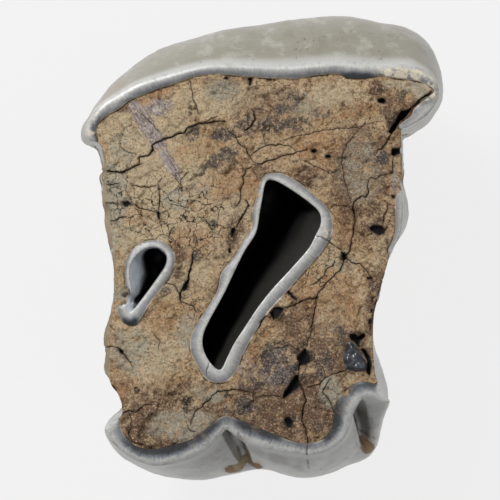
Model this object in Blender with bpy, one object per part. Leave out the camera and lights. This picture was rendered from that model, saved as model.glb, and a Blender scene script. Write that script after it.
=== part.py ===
"""Fossil woolly rhino upper molar, standing on its broken roots with the chewing face up.

+Z is up, +Y is the cheek side with the long smooth enamel wall, and +X is the end with the
enamel hook. The origin is on the ground under the middle of the tooth.
"""
import math

import bmesh
import bpy
from mathutils import Vector

MM = 0.001

# Heights above the ground, in millimetres
TOOTH_HEIGHT = 44.0
WIDEST_HEIGHT = 26.0
NECK_HEIGHT = 15.0
ROOT_ARCH_HEIGHT = 13.0

# Depths below the chewing edge, in millimetres
EDGE_BEVEL = 0.5
BASIN_DEPTH = 0.9
MAIN_PIT_DEPTH = 24.0
HOOK_PIT_DEPTH = 10.0

STEPS_BETWEEN_POINTS = 2
CUT_CLEARANCE = 3.0

# The crown, clockwise from the front corner of the cheek wall. Each row is one place round it:
# x, y of the chewing edge, then x, y of the wall below it where the crown is widest.
CROWN = [
    (-27.0, 18.0, -29.0, 18.5),
    (-26.0, 21.0, -28.0, 21.5),
    (-22.5, 23.5, -24.5, 25.0),
    (-18.5, 25.5, -21.5, 28.0),
    (-14.0, 27.0, -17.5, 31.0),
    (-8.5, 28.5, -12.0, 33.5),
    (-2.0, 28.5, -4.0, 35.5),
    (4.5, 28.0, 3.5, 36.5),
    (11.0, 29.0, 11.5, 37.0),
    (16.5, 28.5, 18.0, 36.5),
    (22.0, 28.5, 23.0, 35.0),
    (25.0, 27.0, 26.5, 32.0),
    (27.0, 25.0, 28.5, 28.0),
    (27.0, 22.5, 29.0, 24.5),
    (25.5, 20.0, 27.0, 21.0),
    (22.5, 18.0, 24.0, 18.5),
    (21.5, 14.0, 22.5, 14.5),
    (21.5, 10.0, 23.0, 10.0),
    (21.5, 5.5, 23.5, 5.0),
    (20.0, 0.5, 22.0, 0.0),
    (18.5, -4.5, 20.5, -4.5),
    (17.0, -9.5, 19.5, -9.5),
    (17.0, -15.0, 19.0, -15.0),
    (18.0, -20.0, 20.0, -20.5),
    (19.5, -23.5, 20.5, -25.5),
    (17.5, -23.0, 19.5, -29.5),
    (16.0, -22.5, 18.5, -32.5),
    (15.0, -23.5, 16.5, -33.5),
    (14.0, -25.5, 15.0, -34.5),
    (11.0, -30.5, 12.0, -35.5),
    (7.0, -31.5, 7.5, -36.5),
    (3.0, -31.0, 3.5, -36.5),
    (-2.0, -30.0, 0.0, -36.0),
    (-5.5, -28.0, -2.0, -35.5),
    (-7.5, -30.0, -5.0, -36.5),
    (-11.5, -32.5, -10.5, -37.0),
    (-15.5, -33.5, -16.0, -36.5),
    (-19.5, -32.5, -20.5, -34.5),
    (-22.0, -30.5, -23.5, -32.0),
    (-24.0, -27.5, -25.5, -28.5),
    (-21.5, -25.5, -23.0, -26.0),
    (-22.0, -23.0, -23.5, -23.5),
    (-24.0, -18.5, -25.5, -19.0),
    (-23.5, -10.0, -25.0, -10.0),
    (-22.5, -3.5, -24.0, -3.5),
    (-23.5, 3.5, -25.0, 3.5),
    (-24.5, 9.5, -26.0, 10.0),
    (-25.0, 14.5, -27.0, 14.5),
]

# Each row is a height and how far the wall has come out there, from 0 at the chewing edge to 1
# where the crown is widest.
WALL_PROFILE = [
    (TOOTH_HEIGHT - EDGE_BEVEL, 0.03),
    (41.5, 0.24),
    (38.5, 0.50),
    (34.5, 0.78),
    (30.5, 0.94),
    (WIDEST_HEIGHT, 1.0),
]

# Each row is a height and the crown's share of its widest outline there, down to the hollow
# underside between the roots.
NECK_PROFILE = [
    (21.5, 0.98),
    (18.0, 0.94),
    (NECK_HEIGHT, 0.89),
    (ROOT_ARCH_HEIGHT + 0.8, 0.80),
    (ROOT_ARCH_HEIGHT, 0.68),
]

# The worn dentine is a shallow basin between the two enamel walls, open at both ends.
BASIN = [
    (-30.0, 20.5),
    (-22.5, 20.5),
    (-19.5, 22.5),
    (-14.0, 25.0),
    (-8.5, 26.5),
    (0.0, 26.0),
    (6.0, 26.0),
    (11.5, 26.5),
    (18.5, 26.0),
    (24.0, 25.5),
    (26.0, 24.0),
    (24.0, 22.0),
    (21.5, 19.5),
    (20.5, 17.5),
    (26.0, 16.0),
    (26.0, -20.0),
    (17.5, -21.5),
    (15.5, -20.5),
    (13.0, -21.5),
    (11.0, -25.0),
    (10.5, -28.5),
    (7.0, -30.0),
    (3.0, -29.0),
    (-3.5, -26.0),
    (-6.0, -26.0),
    (-10.0, -28.5),
    (-15.5, -30.5),
    (-19.0, -30.0),
    (-21.5, -27.0),
    (-30.0, -26.0),
]

# The long pit between the two lobes: its enamel ring and the hole in it.
MAIN_RING = [
    (0.5, 11.5),
    (3.5, 11.5),
    (8.5, 7.5),
    (11.0, 3.0),
    (9.0, -1.0),
    (3.5, -7.0),
    (-1.0, -13.0),
    (-3.5, -18.0),
    (-6.0, -20.5),
    (-9.0, -19.5),
    (-11.0, -15.0),
    (-9.5, -11.0),
    (-6.5, -5.0),
    (-3.0, 1.0),
    (-1.5, 4.5),
    (-1.0, 8.5),
]
MAIN_PIT = [
    (1.0, 10.5),
    (3.0, 10.0),
    (7.0, 7.0),
    (9.0, 4.0),
    (7.5, 0.0),
    (2.0, -6.0),
    (-2.5, -12.5),
    (-5.5, -17.5),
    (-7.0, -18.5),
    (-9.0, -15.0),
    (-8.0, -10.5),
    (-4.5, -4.5),
    (-1.0, 2.0),
    (0.0, 6.5),
]
# How far the floor of the pit lies from its mouth, and how much of its width it keeps
MAIN_PIT_LEAN = (-2.5, 1.8)
MAIN_PIT_TAPER = 0.84

# The small hooked pit near the front end
HOOK_RING = [
    (-20.5, -5.5),
    (-21.0, -2.0),
    (-19.5, 0.0),
    (-17.5, 1.0),
    (-15.0, 1.0),
    (-13.5, -1.0),
    (-14.0, -4.0),
    (-16.5, -7.5),
    (-18.5, -11.0),
    (-20.5, -12.0),
    (-22.0, -9.5),
]
HOOK_PIT = [
    (-18.5, -5.5),
    (-19.0, -3.0),
    (-17.5, -0.5),
    (-15.5, -0.5),
    (-15.0, -2.5),
    (-16.5, -5.5),
    (-19.0, -9.5),
    (-20.0, -9.5),
]
HOOK_PIT_LEAN = (0.8, 1.2)
HOOK_PIT_TAPER = 0.55

# The root stubs: the centre and the half widths of each where it leaves the crown
ROOTS = [
    (-12.0, 16.5, 10.5, 12.5),
    (9.5, 18.5, 10.5, 13.0),
    (-11.5, -19.5, 10.0, 12.5),
    (7.0, -19.5, 9.0, 12.5),
]
# A broken end's share of the root's width at the neck, and how far the ends stand outwards
ROOT_END_SHARE = 0.45
ROOT_SPLAY = 0.16
ROOT_FLARE = 1.7
ROOT_TOP = 17.5
ROOT_SIDES = 28
ROOT_LEVELS = 7

ENAMEL_COLOUR = (0.42, 0.42, 0.38, 1.0)
ENAMEL_ROUGHNESS = 0.35


def remove_everything():
    """Empty the scene."""
    for thing in list(bpy.data.objects):
        bpy.data.objects.remove(thing)


def smooth_loop(points, steps):
    """A closed smooth curve through the points, with some steps between each two."""
    count = len(points)
    loop = []
    for i in range(count):
        before, start, end, after = (Vector(points[(i + k) % count]) for k in (-1, 0, 1, 2))
        for step in range(steps):
            t = step / steps
            bend = (2 * before - 5 * start + 4 * end - after) * t * t
            twist = (3 * start - before - 3 * end + after) * t * t * t
            loop.append(start + (end - before) * t / 2 + bend / 2 + twist / 2)
    return loop


def at_height(loop, height):
    """Lay a plan loop out at one height."""
    return [Vector((point.x, point.y, height)) for point in loop]


def shrunk(loop, share, centre=Vector((0.0, 0.0))):
    """A plan loop at some share of its size about a centre."""
    return [centre + (point - centre) * share for point in loop]


def loft(name, levels):
    """One closed solid through a stack of loops, ordered from the lowest to the highest."""
    mesh = bmesh.new()
    rings = [[mesh.verts.new(point) for point in level] for level in levels]
    for lower, upper in zip(rings, rings[1:]):
        for i in range(len(lower)):
            j = (i + 1) % len(lower)
            mesh.faces.new((lower[i], lower[j], upper[j], upper[i]))
    mesh.faces.new(list(reversed(rings[0])))
    mesh.faces.new(rings[-1])
    mesh.normal_update()
    bmesh.ops.triangulate(mesh, faces=mesh.faces[:])
    bmesh.ops.recalc_face_normals(mesh, faces=mesh.faces[:])
    data = bpy.data.meshes.new(name)
    mesh.to_mesh(data)
    mesh.free()
    solid = bpy.data.objects.new(name, data)
    bpy.context.scene.collection.objects.link(solid)
    return solid


def prism(name, loop, bottom, top):
    """An upright solid with one plan outline."""
    return loft(name, [at_height(loop, bottom), at_height(loop, top)])


def boolean(body, tool, operation):
    """Join a solid to the body or cut it out of the body, and keep only the body."""
    change = body.modifiers.new(tool.name, "BOOLEAN")
    change.operation = operation
    change.object = tool
    change.solver = "EXACT"
    result = bpy.data.meshes.new_from_object(body.evaluated_get(bpy.context.evaluated_depsgraph_get()))
    body.modifiers.remove(change)
    body.data = result
    bpy.data.objects.remove(tool)


def crown_loop(share):
    """The plan of the crown where its wall has come out by some share."""
    edge = [Vector(row[:2]) for row in CROWN]
    wall = [Vector(row[2:]) for row in CROWN]
    return smooth_loop([a.lerp(b, share) for a, b in zip(edge, wall)], STEPS_BETWEEN_POINTS)


def crown():
    """The crown: narrow at the chewing edge, widest half way down and drawn in at the neck."""
    widest = crown_loop(1.0)
    levels = [at_height(shrunk(crown_loop(0.0), 0.99), TOOTH_HEIGHT)]
    levels += [at_height(crown_loop(share), height) for height, share in WALL_PROFILE]
    for height, share in NECK_PROFILE:
        levels.append(at_height(shrunk(widest, share), height))
    return loft("molar", list(reversed(levels)))


def root(x, y, half_x, half_y):
    """A root stub that flares from its flat broken end on the ground up into the crown."""
    levels = []
    turns = [math.tau * side / ROOT_SIDES for side in range(ROOT_SIDES)]
    for k in range(ROOT_LEVELS):
        height = ROOT_TOP * k / (ROOT_LEVELS - 1)
        rise = min(1.0, height / NECK_HEIGHT)
        out = 1 + ROOT_SPLAY * (1 - rise)
        width = out * (ROOT_END_SHARE + (1 - ROOT_END_SHARE) * rise ** ROOT_FLARE)
        loop = [Vector((x * out + half_x * width * math.cos(a), y * out + half_y * width * math.sin(a)))
                for a in turns]
        levels.append(at_height(loop, height))
    return loft("root", levels)


def pit(name, outline, depth, lean, taper):
    """The hollow of a pit, which leans and narrows towards its floor."""
    mouth = smooth_loop(outline, STEPS_BETWEEN_POINTS)
    middle = sum(mouth, Vector((0.0, 0.0))) / len(mouth)
    levels = []
    for share in (1.0, 0.9, 0.6, 0.3, 0.0):
        width = 1 - (1 - taper) * share
        if share == 1.0:
            width *= 0.6
        loop = shrunk(mouth, width, middle)
        moved = [point + Vector(lean) * share for point in loop]
        levels.append(at_height(moved, TOOTH_HEIGHT - depth * share))
    levels.append(at_height(mouth, TOOTH_HEIGHT + CUT_CLEARANCE))
    return loft(name, levels)


def basin():
    """The worn hollow of the dentine, with the two enamel rings left standing in it."""
    floor = TOOTH_HEIGHT - BASIN_DEPTH
    top = TOOTH_HEIGHT + CUT_CLEARANCE
    hollow = prism("basin", [Vector(point) for point in BASIN], floor, top)
    for name, ring in (("main_ring", MAIN_RING), ("hook_ring", HOOK_RING)):
        standing = prism(name, smooth_loop(ring, STEPS_BETWEEN_POINTS), floor - 1.0, top + 1.0)
        boolean(hollow, standing, "DIFFERENCE")
    return hollow


def place_at_real_size(solid):
    """Turn millimetres into metres, with the origin under the middle of the tooth."""
    corners = [Vector(corner) for corner in solid.bound_box]
    low = Vector(min(corner[axis] for corner in corners) for axis in range(3))
    high = Vector(max(corner[axis] for corner in corners) for axis in range(3))
    shift = Vector(((low.x + high.x) / -2, (low.y + high.y) / -2, -low.z))
    for vertex in solid.data.vertices:
        vertex.co = (vertex.co + shift) * MM


def tooth_material():
    """Grey worn enamel, the colour that most of the outside shows."""
    material = bpy.data.materials.new("fossil_enamel")
    material.use_nodes = True
    surface = material.node_tree.nodes["Principled BSDF"]
    surface.inputs["Base Color"].default_value = ENAMEL_COLOUR
    surface.inputs["Roughness"].default_value = ENAMEL_ROUGHNESS
    surface.inputs["Metallic"].default_value = 0.0
    return material


def molar():
    """The whole tooth, one closed solid."""
    tooth = crown()
    for place_and_width in ROOTS:
        boolean(tooth, root(*place_and_width), "UNION")
    boolean(tooth, basin(), "DIFFERENCE")
    boolean(tooth, pit("main_pit", MAIN_PIT, MAIN_PIT_DEPTH, MAIN_PIT_LEAN, MAIN_PIT_TAPER), "DIFFERENCE")
    boolean(tooth, pit("hook_pit", HOOK_PIT, HOOK_PIT_DEPTH, HOOK_PIT_LEAN, HOOK_PIT_TAPER), "DIFFERENCE")
    place_at_real_size(tooth)
    tooth.data.materials.clear()
    tooth.data.materials.append(tooth_material())
    tooth.data.shade_smooth()
    tooth.data.set_sharp_from_angle(angle=math.radians(40))
    return tooth


remove_everything()
molar()
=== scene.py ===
import math

import bpy
import numpy as np
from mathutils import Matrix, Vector, geometry, kdtree, noise


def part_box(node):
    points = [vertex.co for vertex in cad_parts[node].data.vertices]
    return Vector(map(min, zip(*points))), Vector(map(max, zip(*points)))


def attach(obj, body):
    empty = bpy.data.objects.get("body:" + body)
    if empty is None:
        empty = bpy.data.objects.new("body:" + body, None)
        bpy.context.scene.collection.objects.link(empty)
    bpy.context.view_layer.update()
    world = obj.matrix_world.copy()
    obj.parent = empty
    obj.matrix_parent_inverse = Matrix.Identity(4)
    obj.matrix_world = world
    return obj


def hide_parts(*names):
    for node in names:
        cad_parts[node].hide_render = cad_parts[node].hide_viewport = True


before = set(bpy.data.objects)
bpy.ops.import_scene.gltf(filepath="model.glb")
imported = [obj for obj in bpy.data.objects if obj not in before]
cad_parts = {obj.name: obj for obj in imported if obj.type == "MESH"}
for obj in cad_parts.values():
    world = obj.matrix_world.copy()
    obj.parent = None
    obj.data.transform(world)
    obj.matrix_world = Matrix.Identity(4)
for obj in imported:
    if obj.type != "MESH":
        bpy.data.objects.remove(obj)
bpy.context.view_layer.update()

MM = 0.001
TOOTH_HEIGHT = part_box("molar")[1][2] / MM

# Heights above the ground
WIDEST_HEIGHT = 26.0
NECK_HEIGHT = 15.0
ARCH_HEIGHT = 13.0
ENAMEL_END_HEIGHT = 18.0

# The chewing face: how far the dentine lies below the enamel, and how hollow it is in the middle
DENTINE_DROP = 0.45
BASIN_DEPTH = 0.55
ENAMEL_FALL = 0.22
RIM_ROUNDING = 1.1
RIM_FALL = 0.50
MOUTH_ROUNDING = 0.25
MOUTH_FALL = 0.06

# The camera hangs over the photograph's middle, and its view is as wide as 500 pixels
PIXEL = 0.153
PHOTO_SIDE = 500
PLAN_CENTRE = (262.0, 248.0)
CAMERA_RISE = 450.0

# The side of the square floor, which reaches past the view on every side
FLOOR_SIDE = 3000.0

# How many times the bends of the widest outline and of the neck are eased, and the neck's share
# of the widest outline
WALL_EASING = 8
NECK_EASING = 160
NECK_SHARE = 0.89
WALL_ROWS = 22
NECK_ROWS = 12
PIT_ROWS = 22

# The root stubs: the centre and half widths of each where it leaves the crown, and their canals
ROOTS = [
    (-12.0, 16.5, 10.5, 12.5),
    (9.5, 18.5, 10.5, 13.0),
    (-11.5, -19.5, 10.0, 12.5),
    (7.0, -19.5, 9.0, 12.5),
]
ROOT_END_SHARE = 0.45
ROOT_SPLAY = 0.16
ROOT_FLARE = 1.7
ROOT_SIDES = 84
ROOT_LEVELS = [0.0, 0.3, 1.0, 2.0, 3.0, 4.0, 5.0, 6.0, 7.0, 8.0, 9.0, 10.0, 11.0, 12.0]
CANALS = [(-13.0, 13.6, 0.9, 1.6), (10.5, 15.8, 1.0, 1.5), (-11.0, -20.6, 1.0, 1.9), (7.6, -18.6, 0.8, 1.6)]
CANAL_DEPTH = 2.2

# The skin's map, as shares of its side: a corner, then a scale for each millimetre or a size
FACE_MAP = ((0.005, 0.005), 0.0103)
UNDER_MAP = ((0.64, 0.005), 0.0066)
WALL_MAP = ((0.005, 0.80), (0.985, 0.19))
LONG_PIT_MAP = ((0.64, 0.56), (0.34, 0.18))
HOOK_PIT_MAP = ((0.64, 0.49), (0.12, 0.06))

# Distances between neighbouring corners of the skin
RIM_SPACING = 0.34
MOUTH_SPACING = 0.27
LINE_SPACING = 0.27
CRACK_SPACING = 0.24
DENTINE_SPACING = 0.23
ENAMEL_SPACING = 0.34
ROOT_SPACING = 0.62
STEP_WIDTH = 0.06
CLEARANCE = 0.13

# Plan outlines are in pixels of the photograph, as (across, down). Each row of the next four
# lists is one place on the rim, clockwise: its chewing edge, then the outermost wall seen below.
CHEEK_RIM = [
    (90, 140.5, 86, 142), (86, 136, 81, 137), (85.5, 129, 81, 129), (88, 122, 84, 121),
    (92, 114, 89, 114), (97, 107.5, 94, 106), (105, 100, 100, 98), (115, 94, 107, 89.5),
    (126, 88, 117, 80), (140, 81, 127, 71), (155, 76.5, 140, 61), (170, 72, 155, 51.5),
    (188, 67.5, 172, 44), (206, 63.5, 190, 38), (228, 62.5, 213, 31.5), (250, 63, 238, 28),
    (272, 64, 262, 24), (292, 63.5, 285, 20.5), (313, 62, 310, 17.5), (335, 60.5, 335, 16.5),
    (355, 61.5, 358, 18), (375, 63.5, 380, 22), (392, 63, 400, 26), (406, 62.5, 416, 32),
    (416, 65, 427, 41), (426, 70, 435, 53), (433, 76.5, 440, 66), (438, 85, 442.5, 80),
    (439, 94, 442.5, 92), (436, 103, 440, 102), (430, 112, 434, 112), (422, 119, 427, 121),
    (413, 124, 416, 127), (407, 127.5, 408, 131), (402.5, 128.5, 403, 132),
]
BACK_RIM = [
    (400.5, 140, 402.7, 139), (400.5, 150, 402.5, 149), (401, 160, 403, 160),
    (402, 172, 403.8, 171), (400, 181, 402, 181), (402, 191, 404.8, 189),
    (402.5, 199, 406.5, 196.5), (403, 209, 409, 206), (402.5, 219, 409.5, 216),
    (401.5, 229, 408, 226), (399, 238, 404, 234.5), (395, 245, 398.5, 241.5),
    (390.5, 252.5, 393, 251.5), (387, 264, 388.8, 263), (383.5, 277, 385, 275.5),
    (380, 290, 381.5, 289), (377, 302, 378.3, 300.5), (374.5, 313, 376, 311),
    (373.5, 324, 375, 322), (373, 334, 375, 331), (373, 344, 376, 341), (373.5, 355, 378, 352),
    (374.5, 365, 380.5, 363), (375.5, 375, 382.8, 374), (378.5, 383, 385, 383.5),
    (382, 389.5, 386.5, 391), (386, 395, 388.5, 398),
]
TONGUE_RIM = [
    (390, 402, 389, 410), (387, 402.8, 386, 426), (382, 401.5, 384, 435), (376, 399, 381.5, 442.5),
    (370, 397, 378.5, 448), (365, 397.5, 375, 453), (361, 400.5, 371.5, 456.5),
    (358, 405.5, 367.5, 458.5), (355, 411, 364, 460), (352, 419, 360, 461.3),
    (349.5, 428, 355, 463), (345.5, 436, 349, 465.5), (340, 443, 341, 469.5),
    (332, 448.8, 332, 473), (321, 453.3, 322, 475.3), (309, 455, 312, 477),
    (296, 454, 302, 477.7), (283, 452, 292, 477), (271, 450, 283, 475.5),
    (259, 447.8, 274, 473.5), (248, 443.8, 266, 472.2), (238, 439, 260, 471.8),
    (231, 433.5, 254, 471.5), (227, 430, 248, 472), (223, 433, 242, 473.5),
    (217, 439, 234, 475.5), (209, 447, 223, 477.5), (200, 453.5, 211, 479.5),
    (189, 459, 196, 481), (176, 462.8, 180, 480), (163, 465.5, 165, 477.5),
    (152, 465.8, 151, 472.5), (141, 462.5, 138.5, 467), (131, 458, 128, 461.5),
    (121, 451, 119, 455), (113, 443.5, 112, 447), (107.5, 437, 106.5, 438),
    (104.5, 428.8, 103.5, 430),
]
FRONT_RIM = [
    (110, 423.5, 108.5, 422.5), (117, 419.5, 116.5, 417.5), (121.5, 416.5, 119.8, 414),
    (122, 410, 120.5, 408), (121, 402, 119, 400), (117.5, 394, 115.5, 391.5),
    (112, 387, 110, 384.5), (109.5, 381, 107, 380), (109.5, 372, 105, 373),
    (109.5, 362, 106, 362), (109, 352, 106.5, 351), (108, 346, 105, 346.5),
    (109, 334, 106, 335), (111, 318, 108.5, 316), (113, 300, 111.5, 298),
    (115.5, 285, 113.8, 284), (116, 271, 114, 271), (115, 258, 112.6, 258),
    (113, 246, 110, 246), (111.5, 236, 108.3, 237), (110.5, 228, 106, 227),
    (110, 221, 104.8, 221), (110, 213, 106.8, 213), (108.5, 208, 105.5, 208.5),
    (106, 203.5, 102.3, 203.6), (107, 198, 103.5, 197), (105.5, 191, 101.8, 190),
    (106, 184, 103, 184), (102.5, 177.5, 98.8, 177), (106, 172.5, 103.5, 171),
    (106.5, 165, 103, 164), (104.5, 155, 101, 154), (101.5, 147, 97.5, 146),
    (97, 142, 92, 141.5),
]

# The dentine's border with the outer enamel. It passes outside the rim where the enamel has
# broken away from the front and back of the tooth.
DENTINE = [
    (92, 147), (97, 140), (96, 128), (103, 118), (113, 112), (120, 108), (126, 103), (130, 100),
    (140, 96), (150, 92), (160, 88), (170, 85), (180, 81.5), (195, 76.5), (205, 75), (215, 74),
    (222, 74.5), (235, 75.5), (245, 76.5), (255, 77), (265, 78), (285, 78.5), (297, 79),
    (305, 77.5), (315, 75.5), (325, 74.5), (335, 73.5), (340, 74.5), (345, 77.5), (355, 78.5),
    (365, 78.5), (375, 77), (381, 76), (390, 77.5), (400, 78.5), (412, 80), (425, 83), (433, 88.5),
    (434, 92), (427, 98), (420, 103.5), (414, 109), (411, 116), (404, 121), (399, 128.5),
    (408, 137), (410, 180), (404, 187), (396.5, 196), (395.5, 212), (395.5, 230), (392, 242),
    (388, 252), (395, 262), (390, 285), (384, 302), (381, 324), (381, 345), (383, 365),
    (381, 378), (374.5, 384.5), (361.6, 381.6), (351.4, 386.7), (341, 397), (334.8, 411),
    (333.5, 422.4), (328.4, 435), (318, 441.6), (304, 443.5), (289, 440.3), (271, 432.7),
    (252, 425), (235.6, 418.6), (226.7, 416), (219, 418.6), (207.6, 428.8), (194.8, 437.8),
    (177, 444), (159, 448.6), (143.8, 448.6), (131, 443), (122, 431.4), (119, 420), (112, 412),
    (106, 395), (98, 370), (98, 300), (100, 250), (98, 200), (92, 160),
]

# The long pit between the lobes and the small hooked pit: the border of each enamel ring with
# the dentine, then the mouth of the hole in it.
LONG_RING = [
    (263, 177), (271, 173), (284, 174), (301.6, 184.4), (319.5, 199.7), (329.7, 211), (333, 224),
    (331, 236.7), (322, 252), (304, 272.4), (286, 293), (268.5, 312), (254.4, 333.7),
    (245.5, 350), (240.7, 360), (237, 371), (226.7, 381.6), (215, 383), (206, 379), (197, 366),
    (190.3, 351), (191, 335.5), (198.6, 321), (211, 302), (217.8, 289), (221.5, 272.4),
    (232.8, 258.4), (243, 241.8), (252, 226.5), (252.5, 211), (256.4, 198.5), (257, 193),
]
LONG_MOUTH = [
    (266, 182), (274.8, 180.6), (289, 188), (309, 202), (319.5, 212.5), (320.8, 224),
    (315.7, 235.5), (308, 249.5), (291.4, 268.6), (273.6, 287.8), (258.3, 307), (244, 328.6),
    (234.3, 343.4), (226.7, 358.7), (221.6, 369), (216.5, 369), (210, 362.5), (204.4, 352.3),
    (202.4, 340), (207, 325), (223.8, 294), (232.8, 275), (244, 252), (255.7, 233),
    (259.5, 213.8), (262, 199.7),
]
HOOK_RING = [
    (125, 288), (124.5, 270), (130, 252), (146, 241), (161.6, 241), (173, 251), (175, 262),
    (170, 276), (160, 290), (150, 303), (142, 317), (136, 324.7), (126, 325), (119, 316),
    (117, 306), (121, 296),
]
HOOK_MOUTH = [
    (129, 272), (133.5, 258), (146, 248), (158, 247.5), (166, 254), (167, 262), (163, 271),
    (152, 286), (141.5, 300), (131, 312), (126, 308), (127.5, 298), (131, 291),
]
# Where the small pit's ring is broken through and packed with dirt
BREAKS = [[(112, 287), (124, 287), (130, 293), (128, 302), (118, 305), (112, 299)]]
# Each pit's depth, how far its floor lies from its mouth and the line of its trough. One wall
# faces a way and slopes towards the trough within a depth, and the others are steep. One end is
# shallow: its place, its reach, and its share of the depth. The pale lining value is how pale the
# lining is at the mouth; the long pit's dark lining is painted shade.
LONG_PIT = {
    "depth": 24.0, "lean": (-2.5, 1.8), "pale_lining": 0.0,
    "trough": [(292, 210), (270, 245), (248, 285), (227, 330), (216, 350)],
    "faces": (-0.82, 0.57), "sloping": 0.55, "steep": 0.02, "slope_depth": 9.0,
    "shallow_end": ((216, 366), 3.0, 0.8),
}
HOOK_PIT = {
    "depth": 10.0, "lean": (0.2, 0.1), "pale_lining": 1.0,
    "trough": [(159, 256), (155, 266), (149, 279), (141, 293), (134, 304)],
    "faces": (0.9, 0.44), "sloping": 0.85, "steep": 0.15, "slope_depth": 5.0,
    "shallow_end": ((129, 309), 6.0, 0.22),
}

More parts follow.
